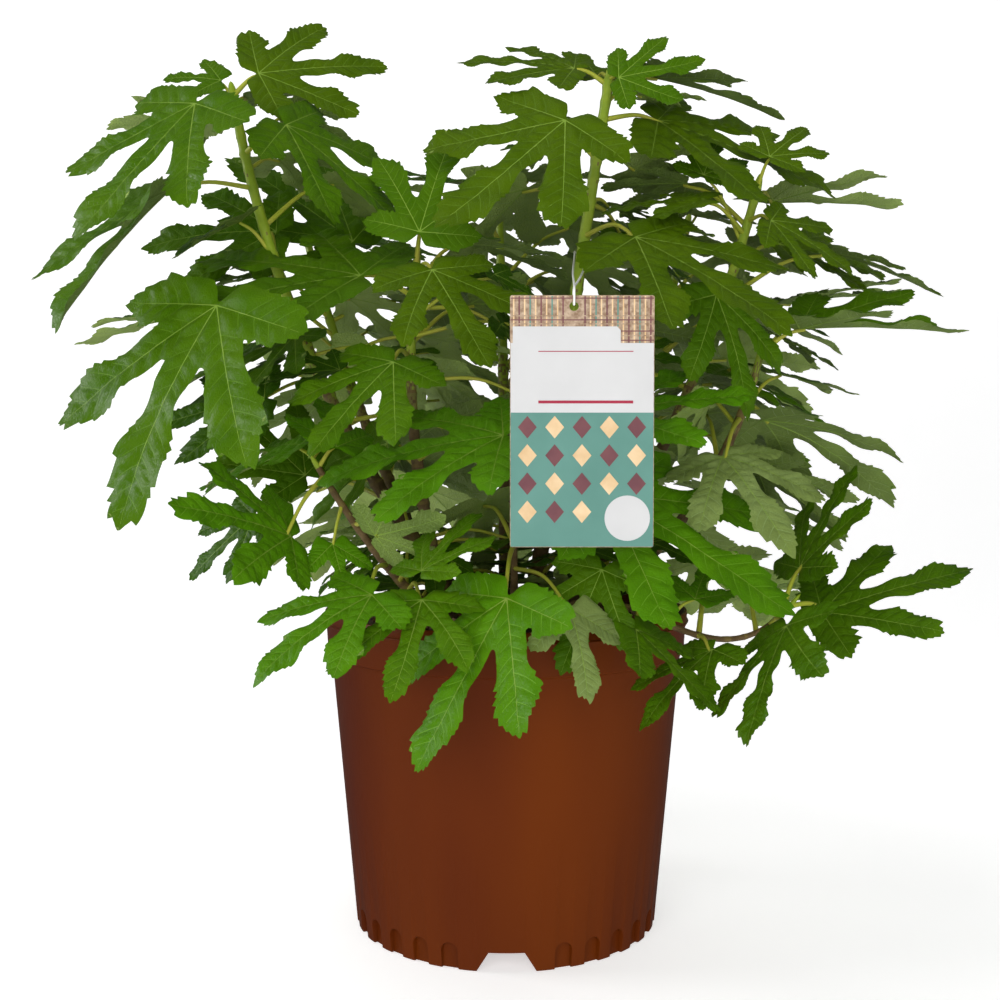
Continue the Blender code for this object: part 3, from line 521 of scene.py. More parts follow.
def smooth_path(knots: list[Vector], count: int) -> np.ndarray:
    """A smooth middle line through a few knots."""
    rows = np.array([tuple(k) for k in knots])
    rows = np.vstack([2 * rows[0] - rows[1], rows, 2 * rows[-1] - rows[-2]])
    spans = len(knots) - 1
    places = []
    for s in np.linspace(0, spans, count):
        i = min(int(s), spans - 1)
        t = s - i
        p0, p1, p2, p3 = rows[i:i + 4]
        places.append(
            0.5 * (2 * p1 + (p2 - p0) * t + (2 * p0 - 5 * p1 + 4 * p2 - p3) * t**2
                   + (3 * p1 - p0 - 3 * p2 + p3) * t**3)
        )
    return np.array(places)


# Finishes


@dataclass(frozen=True)
class Finish:
    """A finish with a mottled colour and a fine relief.

    Attributes:
        name: The material's name.
        colour: Its main colour.
        second: The colour it is mottled with.
        roughness: How dull it is.
        mottle_scale: Spots in a metre.
        relief_scale: Bumps in a metre.
        relief: Height of the bumps in metres.
        stretch: How the pattern is scaled along X, Y and Z.
        slot: The name of a material slot; not used.
    """

    name: str
    colour: tuple[float, float, float]
    second: tuple[float, float, float]
    roughness: float
    slot: str
    mottle_scale: float = 60
    relief_scale: float = 500
    relief: float = 0.0002
    stretch: tuple[float, float, float] = (1, 1, 1)
    specular: float = 0.5
    sheen: float = 0.0

    def material(self) -> bpy.types.Material:
        """The material, made once."""
        found = bpy.data.materials.get(self.name)
        if found:
            return found
        made = bpy.data.materials.new(self.name)
        made.use_nodes = True
        tree = made.node_tree
        shader = tree.nodes["Principled BSDF"]
        shader.inputs["Roughness"].default_value = self.roughness
        shader.inputs["Specular IOR Level"].default_value = self.specular
        place = tree.nodes.new("ShaderNodeTexCoord")
        scaled = tree.nodes.new("ShaderNodeMapping")
        scaled.inputs["Scale"].default_value = self.stretch
        tree.links.new(place.outputs["Object"], scaled.inputs["Vector"])
        self.tint(tree, scaled.outputs["Vector"], shader.inputs["Base Color"])
        self.bumps(tree, scaled.outputs["Vector"], shader.inputs["Normal"])
        made.diffuse_color = (*self.colour, 1)
        return made

    def tint(
        self, tree: bpy.types.NodeTree, place: bpy.types.NodeSocket, end: bpy.types.NodeSocket
    ) -> None:
        """Mottle the colour."""
        noise = tree.nodes.new("ShaderNodeTexNoise")
        noise.inputs["Scale"].default_value = self.mottle_scale
        noise.inputs["Detail"].default_value = 3
        ramp = tree.nodes.new("ShaderNodeValToRGB")
        ramp.color_ramp.elements[0].position = 0.35
        ramp.color_ramp.elements[0].color = (*self.colour, 1)
        ramp.color_ramp.elements[1].position = 0.7
        ramp.color_ramp.elements[1].color = (*self.second, 1)
        tree.links.new(place, noise.inputs["Vector"])
        tree.links.new(noise.outputs["Fac"], ramp.inputs["Fac"])
        tree.links.new(ramp.outputs["Color"], end)

    def bumps(
        self, tree: bpy.types.NodeTree, place: bpy.types.NodeSocket, end: bpy.types.NodeSocket
    ) -> None:
        """Give the surface its fine relief."""
        noise = tree.nodes.new("ShaderNodeTexNoise")
        noise.inputs["Scale"].default_value = self.relief_scale
        noise.inputs["Detail"].default_value = 2
        bump = tree.nodes.new("ShaderNodeBump")
        bump.inputs["Strength"].default_value = 1.0
        bump.inputs["Distance"].default_value = self.relief
        tree.links.new(place, noise.inputs["Vector"])
        tree.links.new(noise.outputs["Fac"], bump.inputs["Height"])
        tree.links.new(bump.outputs["Normal"], end)


@dataclass(frozen=True)
class LeafFinish(Finish):
    """A leaf's surface, with a net of fine veins between the side veins.

    Attributes:
        cells: Meshes of the net in a metre.
        furrow: Width of a fine vein, as a part of a mesh.
    """

    cells: float = 420
    furrow: float = 0.14

    def bumps(
        self, tree: bpy.types.NodeTree, place: bpy.types.NodeSocket, end: bpy.types.NodeSocket
    ) -> None:
        """Sink the net of fine veins into the surface, over its fine grain."""
        net = tree.nodes.new("ShaderNodeTexVoronoi")
        net.feature = "DISTANCE_TO_EDGE"
        net.inputs["Scale"].default_value = self.cells
        rise = tree.nodes.new("ShaderNodeMapRange")
        rise.interpolation_type = "SMOOTHSTEP"
        rise.inputs["From Max"].default_value = self.furrow
        grain = tree.nodes.new("ShaderNodeTexNoise")
        grain.inputs["Scale"].default_value = self.relief_scale
        grain.inputs["Detail"].default_value = 2
        total = tree.nodes.new("ShaderNodeMath")
        total.operation = "MULTIPLY_ADD"
        total.inputs[1].default_value = 0.5
        bump = tree.nodes.new("ShaderNodeBump")
        bump.inputs["Strength"].default_value = 1.0
        bump.inputs["Distance"].default_value = self.relief
        tree.links.new(place, net.inputs["Vector"])
        tree.links.new(place, grain.inputs["Vector"])
        tree.links.new(net.outputs["Distance"], rise.inputs["Value"])
        tree.links.new(grain.outputs["Fac"], total.inputs[0])
        tree.links.new(rise.outputs["Result"], total.inputs[2])
        tree.links.new(total.outputs["Value"], bump.inputs["Height"])
        tree.links.new(bump.outputs["Normal"], end)


def leaf_top(name: str, colour: tuple[float, float, float], second: tuple[float, float, float]) -> Finish:
    """The satin upper side of a leaf."""
    return LeafFinish(name, colour, second, 0.36, "leaf", 38, 900, 0.00009, specular=0.18)


# Tops: the first green is painted shade, the fifth painted light and the last a painted sheen; the rest are
# leaf greens
LEAF_TOPS = [
    leaf_top("leaf_painted_shade", (0.028, 0.084, 0.001), (0.040, 0.104, 0.002)),
    leaf_top("leaf_olive", (0.050, 0.100, 0.001), (0.066, 0.122, 0.002)),
    leaf_top("leaf_mid", (0.045, 0.116, 0.001), (0.062, 0.140, 0.002)),
    leaf_top("leaf_fresh", (0.056, 0.146, 0.002), (0.076, 0.176, 0.003)),
    leaf_top("leaf_painted_light", (0.059, 0.178, 0.002), (0.077, 0.208, 0.003)),
    leaf_top("leaf_painted_sheen", (0.150, 0.210, 0.050), (0.190, 0.260, 0.075)),
]
# Undersides: a paler green than the tops, lightened further as painted light that stands for light through the
# leaf
LEAF_UNDERS = [
    LeafFinish("leaf_under", (0.150, 0.225, 0.046), (0.175, 0.255, 0.056), 0.7, "leaf", 45, 700, 0.0003,
               specular=0.15),
    LeafFinish("leaf_under_pale", (0.240, 0.340, 0.080), (0.280, 0.380, 0.100), 0.7, "leaf", 45, 700,
               0.0003, specular=0.15),
]
RIB = Finish("leaf_rib", (0.17, 0.29, 0.03), (0.23, 0.34, 0.05), 0.5, "leaf", 80, 900, 0.0001)


def vein(name: str, colour: tuple[float, float, float], second: tuple[float, float, float]) -> Finish:
    """The side veins of a leaf, a little paler than its blade."""
    return Finish(name, colour, second, 0.5, "leaf", 80, 900, 0.0001, specular=0.3)


# Veins follow the tops' tints: painted shade, painted light and a painted sheen among them
VEINS = [
    vein("vein_painted_shade", (0.060, 0.145, 0.006), (0.074, 0.166, 0.008)),
    vein("vein_olive", (0.076, 0.150, 0.008), (0.092, 0.172, 0.011)),
    vein("vein_mid", (0.078, 0.176, 0.007), (0.098, 0.202, 0.010)),
    vein("vein_fresh", (0.098, 0.208, 0.009), (0.122, 0.238, 0.013)),
    vein("vein_painted_light", (0.112, 0.272, 0.013), (0.132, 0.300, 0.018)),
    vein("vein_painted_sheen", (0.200, 0.290, 0.090), (0.230, 0.320, 0.110)),
]
VEIN_UNDER = vein("vein_under", (0.200, 0.290, 0.085), (0.230, 0.320, 0.095))
STALK = Finish("leaf_stalk", (0.33, 0.38, 0.03), (0.40, 0.39, 0.05), 0.42, "leaf", 60, 900, 0.0001)
CANE_GREEN = Finish("cane_green", (0.20, 0.30, 0.015), (0.27, 0.36, 0.025), 0.42, "bark", 120, 1200, 0.0002)
CANE_OLIVE = Finish("cane_olive", (0.15, 0.14, 0.03), (0.20, 0.17, 0.04), 0.6, "bark", 120, 1200, 0.0003)
CANE_BROWN = Finish("cane_brown", (0.09, 0.056, 0.020), (0.15, 0.10, 0.04), 0.75, "bark", 160, 1200, 0.0005)
CANE_SCAR = Finish("cane_scar", (0.16, 0.12, 0.03), (0.12, 0.07, 0.03), 0.75, "bark", 160, 1200, 0.0004)


# Leaves


@dataclass
class Streak:
    """A rib or side vein on a flat leaf: its middle line and half widths at both ends, in mm."""

    line: np.ndarray
    start: float
    stop: float
    main: bool
    edge_far: np.ndarray | None = None
    around: np.ndarray | None = None


def to_segments(points: np.ndarray, starts: np.ndarray, ends: np.ndarray) -> np.ndarray:
    """Distance of each flat point from the nearest of many straight pieces."""
    best = np.full(len(points), np.inf)
    for low in range(0, len(starts), 200):
        a, b = starts[low:low + 200], ends[low:low + 200]
        run = b - a
        length = np.maximum((run**2).sum(1), 1e-12)
        part = ((points[:, None] - a[None]) * run[None]).sum(2) / length
        part = np.clip(part, 0, 1)
        near = a[None] + part[:, :, None] * run[None]
        best = np.minimum(best, np.linalg.norm(points[:, None] - near, axis=2).min(1))
    return best


def inside(points: np.ndarray, outline: np.ndarray) -> np.ndarray:
    """Which flat points lie inside an outline."""
    x, y = points[:, 0][:, None], points[:, 1][:, None]
    ax, ay = outline[:, 0][None], outline[:, 1][None]
    after = np.roll(outline, -1, axis=0)
    bx, by = after[:, 0][None], after[:, 1][None]
    with np.errstate(divide="ignore", invalid="ignore"):
        cross = (ay > y) != (by > y)
        at = ax + (y - ay) * (bx - ax) / (by - ay)
    return ((cross & (x < at)).sum(1) % 2) == 1


@dataclass
class LeafPattern:
    """A flat leaf in blade lengths: toothed outline, ribs, side veins and its two faces' meshes.

    Attributes:
        form: The source's outline that it follows.
        seed: Seed of its teeth.
        edge_step: Spacing of the outline's points.
        top_step: Spacing of the points inside, on the upper side.
        under_step: The same on the lower side.
        tooth: Depth of the teeth.
        bay: Half the width of a bay's round bottom.
        puff: How high the leaf stands between its veins.
        vein_gap: Spacing of the side veins.
    """

    form: LeafForm
    seed: int
    edge_step: float = 0.0105
    top_step: float = 0.022
    under_step: float = 0.05
    tooth: float = 0.018
    bay: float = 0.017
    puff: float = 0.017
    vein_gap: float = 0.08
    streaks: list[Streak] = field(default_factory=list)

    def __post_init__(self) -> None:
        """Draw the outline and the veins, and mesh both sides."""
        self.random = random.Random(self.seed)
        self.outline = self.toothed(self.smooth_outline())
        self.streaks = self.ribs() + self.side_veins()
        starts = np.concatenate([s.line[:-1] for s in self.streaks])
        ends = np.concatenate([s.line[1:] for s in self.streaks])
        top_inner, top_faces = self.fill(self.top_step, self.streaks)
        low_inner, low_faces = self.fill(self.under_step, [s for s in self.streaks if s.main])
        rim = len(self.outline)
        self.flat = np.concatenate([self.outline, top_inner, low_inner])
        low_faces = np.where(low_faces >= rim, low_faces + len(top_inner), low_faces)
        self.faces = np.concatenate([top_faces, low_faces[:, ::-1]])
        self.is_top = np.arange(len(self.faces)) < len(top_faces)
        self.side = np.concatenate([np.zeros(rim), np.ones(len(top_inner)), -np.ones(len(low_inner))])
        vein_far = to_segments(self.flat, starts, ends)
        after = np.roll(self.outline, -1, axis=0)
        self.edge_far = to_segments(self.flat, self.outline, after)
        self.edge_far[:rim] = 0
        self.relief = self.puff * (1 - np.exp(-((vein_far / 0.024) ** 2)))
        self.relief *= 1 - np.exp(-((self.edge_far / 0.03) ** 2))
        self.relief[self.side < 0] = 0
        self.round_edge = self.around(self.flat)
        for streak in self.streaks:
            streak.edge_far = to_segments(streak.line, self.outline, after)
            streak.around = self.around(streak.line)

    def smooth_outline(self) -> np.ndarray:
        """The smooth outline, from the right heel round to the left one."""
        form = self.form
        knots = [np.array((-0.02, 0.0)), polar(-form.heel_angle - 12, form.heel * 0.62)]
        knots.append(polar(-form.heel_angle, form.heel))
        last = len(form.lobes) - 1
        for k, lobe in enumerate(form.lobes):
            shape = [(0.72, 1.0), (0.86, 0.80), (0.95, 0.42), (0.985, 0.0)]
            if lobe.neck:
                shape = [(0.46, lobe.neck / lobe.width), (0.60, 0.84)] + shape
            for side, rows in ((-1, shape), (1, shape[-2::-1])):
                for part, wide in rows:
                    uneven = self.random.uniform(0.84, 1.14) if part > 0.5 else 1.0
                    across = side * wide * uneven * lobe.width
                    knots.append(polar(lobe.angle, part * lobe.length, across))
            if k < last:
                between = (lobe.angle + form.lobes[k + 1].angle) / 2
                for across in (-self.bay, 0.0, self.bay):
                    knots.append(polar(between, form.bays[k] + 0.6 * abs(across), across))
        knots.append(polar(form.heel_angle, form.heel))
        knots.append(polar(form.heel_angle + 12, form.heel * 0.62))
        rows = np.array(knots)
        dense = []
        for i in range(len(rows)):
            p0, p1, p2, p3 = (rows[(i + j) % len(rows)] for j in (-1, 0, 1, 2))
            for t in np.linspace(0, 1, 16, endpoint=False):
                dense.append(
                    0.5 * (2 * p1 + (p2 - p0) * t + (2 * p0 - 5 * p1 + 4 * p2 - p3) * t**2
                           + (3 * p1 - p0 - 3 * p2 + p3) * t**3)
                )
        return self.even(np.array(dense), self.edge_step)

    def even(self, loop: np.ndarray, step: float) -> np.ndarray:
        """The same closed line with evenly spaced points."""
        closed = np.vstack([loop, loop[:1]])
        lengths = np.concatenate([[0], np.cumsum(np.linalg.norm(np.diff(closed, axis=0), axis=1))])
        count = int(lengths[-1] / step)
        at = np.linspace(0, lengths[-1], count, endpoint=False)
        return np.stack([np.interp(at, lengths, closed[:, k]) for k in (0, 1)], 1)

    def toothed(self, loop: np.ndarray) -> np.ndarray:
        """The outline with forward teeth on the lobes, pointed tips and smooth bays."""
        before, after = np.roll(loop, 1, axis=0), np.roll(loop, -1, axis=0)
        ahead = after - before
        ahead /= np.linalg.norm(ahead, axis=1, keepdims=True)
        out = np.stack([ahead[:, 1], -ahead[:, 0]], 1)
        far = np.linalg.norm(loop, axis=1)
        strength = np.array([self.toothiness(place) for place in loop])
        rising = np.roll(far, -2) >= np.roll(far, 2)
        depth = np.zeros(len(loop))
        i = 0
        while i < len(loop):
            length = self.random.choice((3, 4, 4, 5, 6, 7, 11))
            size = self.random.uniform(0.45, 1.4) * (0.35 + 0.14 * length)
            for j in range(i, min(i + length, len(loop))):
                part = (j - i) / (length - 1)
                depth[j] = size * (part if rising[j] else 1 - part) - 0.3
            i += length
        moved = loop + out * (depth * strength * self.tooth)[:, None]
        for lobe in self.form.lobes:
            end = polar(lobe.angle, lobe.length)
            gap = np.linalg.norm(loop - end, axis=1)
            push = 0.026 * np.clip(1 - gap / 0.03, 0, 1)
            moved = moved + np.outer(push, polar(lobe.angle, 1))
        return moved

    def toothiness(self, place: np.ndarray) -> float:
        """How strongly the margin is toothed: on the lobes' outer parts, not along their necks."""
        lobe = self.nearest_lobe(place)
        turn = math.radians(lobe.angle)
        along = (place[0] * math.cos(turn) + place[1] * math.sin(turn)) / lobe.length
        start = 0.52 if lobe.neck else 0.34
        return min(max((along - start) / 0.12, 0.1), 1.0)

    def ribs(self) -> list[Streak]:
        """The main ribs from the hub to the lobes' tips."""
        found = []
        for lobe in self.form.lobes:
            stops = np.append(np.arange(0.0, 0.95 * lobe.length, 0.03), 0.975 * lobe.length)
            line = np.array([polar(lobe.angle, s) for s in stops])
            found.append(Streak(line, 0.46 * (0.6 + 0.4 * lobe.length), 0.08, True))
        return found

    def side_veins(self) -> list[Streak]:
        """The side veins, which leave the ribs in turn and end short of the margin."""
        found = []
        for lobe in self.form.lobes:
            for side in (-1, 1):
                at = 0.13 + 0.5 * self.vein_gap * (side > 0)
                while at < 0.93 * lobe.length:
                    line = self.one_vein(lobe, at, side)
                    if len(line) > 1:
                        found.append(Streak(line, 0.24, 0.13, False))
                    at += self.vein_gap * self.random.uniform(0.85, 1.15)
        return found

    def one_vein(self, lobe: Lobe, at: float, side: int) -> np.ndarray:
        """One side vein, bending forward as it runs out."""
        place = polar(lobe.angle, at)
        line = [place]
        slope = 56.0
        after = np.roll(self.outline, -1, axis=0)
        for _ in range(14):
            turn = math.radians(lobe.angle + side * slope)
            place = place + 0.02 * np.array((math.cos(turn), math.sin(turn)))
            slope -= 2.5
            if not inside(place[None], self.outline)[0]:
                break
            if to_segments(place[None], self.outline, after)[0] < 0.016:
                break
            if self.nearest_lobe(place) is not lobe:
                break
            line.append(place)
        keep = line[::2] if len(line) % 2 else line[::2] + [line[-1]]
        return np.array(keep)

    def nearest_lobe(self, place: np.ndarray) -> Lobe:
        """The lobe whose rib is nearest in angle."""
        angle = math.degrees(math.atan2(place[1], place[0]))
        return min(self.form.lobes, key=lambda lobe: abs(lobe.angle - angle))

    def fill(self, step: float, streaks: list[Streak]) -> tuple[np.ndarray, np.ndarray]:
        """Mesh the inside of the outline.

        Args:
            step: Spacing of the points inside.
            streaks: Lines that the mesh's edges follow.

        Returns:
            The points inside the outline, and triangles whose corners count the outline first.
        """
        rim = len(self.outline)
        lines: list[np.ndarray] = []
        edges: list[tuple[int, int]] = []
        count = rim
        for streak in streaks:
            skip = 1 if streak.main and lines else 0
            rows = streak.line[skip:]
            first = count
            lines.append(rows)
            count += len(rows)
            if skip:
                edges.append((rim, first))
            edges += [(first + k, first + k + 1) for k in range(len(rows) - 1)]
        marks = np.concatenate(lines)
        low, high = self.outline.min(0), self.outline.max(0)
        rows = []
        for j, y in enumerate(np.arange(low[1], high[1], step * 0.866)):
            xs = np.arange(low[0], high[0], step) + (step / 2 if j % 2 else 0)
            rows.append(np.stack([xs, np.full(len(xs), y)], 1))
        grid = np.concatenate(rows)
        grid = grid[inside(grid, self.outline)]
        after = np.roll(self.outline, -1, axis=0)
        grid = grid[to_segments(grid, self.outline, after) > 0.45 * step]
        starts = np.concatenate([s.line[:-1] for s in streaks])
        ends = np.concatenate([s.line[1:] for s in streaks])
        grid = grid[to_segments(grid, starts, ends) > 0.40 * step]
        everything = np.concatenate([self.outline, marks, grid])
        vectors = [Vector(p) for p in everything]
        corners, _, faces, origins, _, _ = delaunay_2d_cdt(
            vectors, edges, [list(range(rim))], 1, 1e-6, True
        )
        back = [origin[0] if origin else -1 for origin in origins]
        extra = []
        for k, number in enumerate(back):
            if number < 0:
                back[k] = len(everything) + len(extra)
                extra.append(corners[k])
        if extra:
            everything = np.concatenate([everything, np.array([tuple(p) for p in extra])])
        triangles = np.array([[back[k] for k in face] for face in faces])
        middles = everything[triangles].mean(axis=1)
        kept = inside(middles, self.outline)
        triangles, middles = triangles[kept], middles[kept]
        # A triangle between points of the rim gets a middle point, which stands off the rim's plane
        flat = (triangles < rim).all(axis=1)
        hub = len(everything) + np.arange(int(flat.sum()))
        a, b, c = triangles[flat].T
        split = [np.stack(corner, 1) for corner in ((a, b, hub), (b, c, hub), (c, a, hub))]
        everything = np.concatenate([everything, middles[flat]])
        return everything[rim:], np.concatenate([triangles[~flat], *split])

    def around(self, places: np.ndarray) -> np.ndarray:
        """How far round the outline the nearest point of it lies, from 0 to 1."""
        nearest = np.zeros(len(places))
        for low in range(0, len(places), 500):
            part = places[low:low + 500]
            gaps = np.linalg.norm(part[:, None] - self.outline[None], axis=2)
            nearest[low:low + 500] = gaps.argmin(1)
        return nearest / len(self.outline)


@dataclass
class LeafMaker:
    """Turns flat patterns into leaves in the frame.

    Attributes:
        thickness: Of a blade, in metres.
        ruffle: How far the margins wave, in blade lengths.
    """

    thickness: float = 0.5 * MM
    ruffle: float = 0.016

    def __post_init__(self) -> None:
        """Draw a few patterns of each form."""
        self.patterns = {
            5: [LeafPattern(FIVE, 100 + k) for k in range(5)],
            3: [LeafPattern(THREE, 200 + k) for k in range(3)],
        }
        self.plainer = [
            LeafPattern(FIVE, 110 + k, edge_step=0.021, top_step=0.07, under_step=0.11, vein_gap=0.12)
            for k in range(2)
        ]

    def shape(self, leaf: Leaf, chance: random.Random, inner: bool) -> "LeafShape":
        """How one leaf is warped, drawn by chance."""
        pattern = chance.choice(self.plainer if inner else self.patterns[len(leaf.form.lobes)])
        return LeafShape(
            leaf, pattern, chance.uniform(-0.08, 0.08), chance.uniform(0, 6.28),
            [chance.uniform(-0.025, 0.02) for _ in leaf.form.lobes], self.ruffle,
            chance.randint(15, 24),
        )

    def blade(self, shape: "LeafShape") -> tuple[np.ndarray, np.ndarray]:
        """Points and triangles of a blade, thin and closed."""
        pattern = shape.pattern
        points = shape.place(pattern.flat, pattern.relief, pattern.edge_far, pattern.round_edge)
        _, _, upper = shape.leaf.axes()
        return points + np.outer(pattern.side, upper) * self.thickness / 2, pattern.faces

    def streaks(
        self, shape: "LeafShape", main: bool, above: bool
    ) -> list[tuple[np.ndarray, np.ndarray]]:
        """The raised ribs or side veins of one side of a leaf.

        Args:
            shape: The leaf.
            main: Whether the main ribs are meant, or the side veins.
            above: Whether the upper side is meant.

        Returns:
            Points and quads of each.
        """
        _, _, upper = shape.leaf.axes()
        size = shape.leaf.blade * MM
        bigger = min(1.15, 0.5 + shape.leaf.blade / 180)
        made = []
        for streak in shape.pattern.streaks:
            if streak.main != main:
                continue
            line = streak.line
            ahead = np.gradient(line, axis=0)
            ahead /= np.linalg.norm(ahead, axis=1, keepdims=True)
            across = np.stack([-ahead[:, 1], ahead[:, 0]], 1)
            wide = np.linspace(streak.start, streak.stop, len(line)) * MM * bigger
            wide = wide if above or not main else wide * 1.25
            offset = across * (wide / size)[:, None]
            flat = [line - offset, line, line + offset] if main else [line - offset, line + offset]
            lift = self.thickness / 2 + 0.04 * MM
            columns = []
            for k, rows in enumerate(flat):
                zero = np.zeros(len(rows))
                base = shape.place(rows, zero, streak.edge_far, streak.around)
                height = lift + zero if main else lift + zero + 0.05 * MM
                if k == 1 and main:
                    height = height + (0.5 if above else 0.9) * wide
                sign = 1 if above else -1
                columns.append(base + np.outer(height * sign, upper))
            count = len(line)
            points = np.concatenate(columns)
            k = np.arange(count - 1)
            quads = np.concatenate([
                np.stack([c * count + k, c * count + k + 1, (c + 1) * count + k + 1, (c + 1) * count + k], 1)
                for c in range(len(flat) - 1)
            ])
            made.append((points, quads[:, ::-1] if above else quads))
        return made


@dataclass
class LeafShape:
    """One leaf's own warp of its pattern."""

    leaf: Leaf
    pattern: LeafPattern
    bend: float
    phase: float
    sags: list[float]
    ruffle: float
    waves: int

    def place(
        self, flat: np.ndarray, relief: np.ndarray, edge_far: np.ndarray, around: np.ndarray
    ) -> np.ndarray:
        """Where flat points lie on the leaf in the frame.

        Args:
            flat: Points in blade lengths.
            relief: Their height over the plain blade.
            edge_far: How far inside the outline they are.
            around: How far round the outline the nearest point of it lies.

        Returns:
            Points in metres.
        """
        leaf = self.leaf
        rib, left, upper = (np.array(v) for v in leaf.axes())
        far = np.linalg.norm(flat, axis=1)
        angle = np.arctan2(flat[:, 1], flat[:, 0])
        turned = angle + self.bend * far**2 + 0.05 * far**2 * np.sin(2 * angle + self.phase)
        a, b = far * np.cos(turned), far * np.sin(turned)
        near_rib = far.copy()
        sag = np.zeros(len(flat))
        weight = np.full(len(flat), 1e-9)
        for lobe, drop in zip(leaf.form.lobes, self.sags):
            turn = math.radians(lobe.angle)
            along = flat[:, 0] * math.cos(turn) + flat[:, 1] * math.sin(turn)
            off = np.abs(flat[:, 1] * math.cos(turn) - flat[:, 0] * math.sin(turn))
            near_rib = np.where(along > 0, np.minimum(near_rib, off), near_rib)
            share = np.exp(-(((angle - turn) / 0.35) ** 2))
            sag += share * drop
            weight += share
        fold = LEAF_FOLD * (np.sqrt(near_rib**2 + 0.0004) - 0.02)
        wave = self.ruffle * np.sin(2 * np.pi * self.waves * around + self.phase)
        wave = wave * np.exp(-edge_far / 0.045) * np.clip(far / 0.4 - 0.4, 0, 1)
        b = b / math.hypot(1, leaf.vee)
        vee = leaf.vee * (np.sqrt(b**2 + 0.0002) - 0.014)
        height = fold + vee - leaf.droop * far**2 + sag / weight * far**2 + relief + wave
        size = leaf.blade * MM
        return np.array(leaf.hub) * MM + size * (
            np.outer(a, rib) + np.outer(b, left) + np.outer(height, upper)
        )


# The plant


class Rule:
    """The source's rule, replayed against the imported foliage."""

    def __init__(self, nodes: dict[str, bpy.types.Object]) -> None:
        """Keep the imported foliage's corners at hand."""
        self.random = random.Random(SEED)
        self.corners: dict[str, KDTree] = {}
        for cane in CANES:
            vertices = nodes[f"foliage_{cane.name}"].data.vertices
            tree = KDTree(len(vertices))
            for vertex in vertices:
                tree.insert(vertex.co, vertex.index)
            tree.balance()
            self.corners[cane.name] = tree

    def grown(self, cane: Cane, leaf: Leaf) -> bool:
        """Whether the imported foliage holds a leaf."""
        tree = self.corners[cane.name]
        return all(tree.find(tip)[2] < TIP_MATCH for tip in leaf.tips())

    def seen_leaves(self, cane: Cane) -> list[Leaf]:
        """The leaves that the source places one by one, where they stand."""
        found = []
        for leaf in cane.leaves:
            for shift in NUDGES_MM:
                for lean in NUDGES_DEG:
                    x, y, z = leaf.hub
                    placed = replace(leaf, hub=(x, y + shift, z), dip=leaf.dip + lean)
                    if self.grown(cane, placed):
                        found.append(placed)
                        break
                else:
                    continue
                break
        return found

    def rule_leaf(self, cane: Cane, number: int, attempt: int) -> Leaf:
        """One try at a leaf by the rule: each next leaf turns by the golden angle."""
        spread = cane.spread
        part = (number + 0.5) / spread.count
        at = spread.start + (0.98 - spread.start) * part
        swing = ((number * GOLDEN_DEG + attempt * 41) % 360) / 180 - 1
        turn = spread.turn + swing * spread.swing
        stalk = (95 - 50 * part) * self.random.uniform(0.75, 1.2)
        rise = math.radians(5 + 40 * part + self.random.uniform(-12, 12))
        heading = math.radians(turn)
        foot = cane.point(at) / MM
        hub = (
            foot.x + stalk * math.cos(heading) * math.cos(rise),
            foot.y + stalk * math.sin(heading) * math.cos(rise),
            foot.z + stalk * math.sin(rise),
        )
        return Leaf(
            at, hub, (124 - 34 * part) * self.random.uniform(0.82, 1.08) * (1 - 0.006 * attempt),
            turn + self.random.uniform(-30, 30),
            34 - 30 * part + self.random.uniform(-12, 16),
            self.random.uniform(-22, 22),
            vee=VEE_START + VEE_STEP * (number % 4),
        )

    def leaves(self) -> dict[str, list[Leaf]]:
        """All the leaves of every cane, in the source's order."""
        found = {cane.name: self.seen_leaves(cane) for cane in CANES}
        for cane in CANES:
            for number in range(cane.spread.count):
                for attempt in range(RULE_TRIES):
                    leaf = self.rule_leaf(cane, number, attempt)
                    if self.grown(cane, leaf):
                        found[cane.name].append(leaf)
                        break
        return found


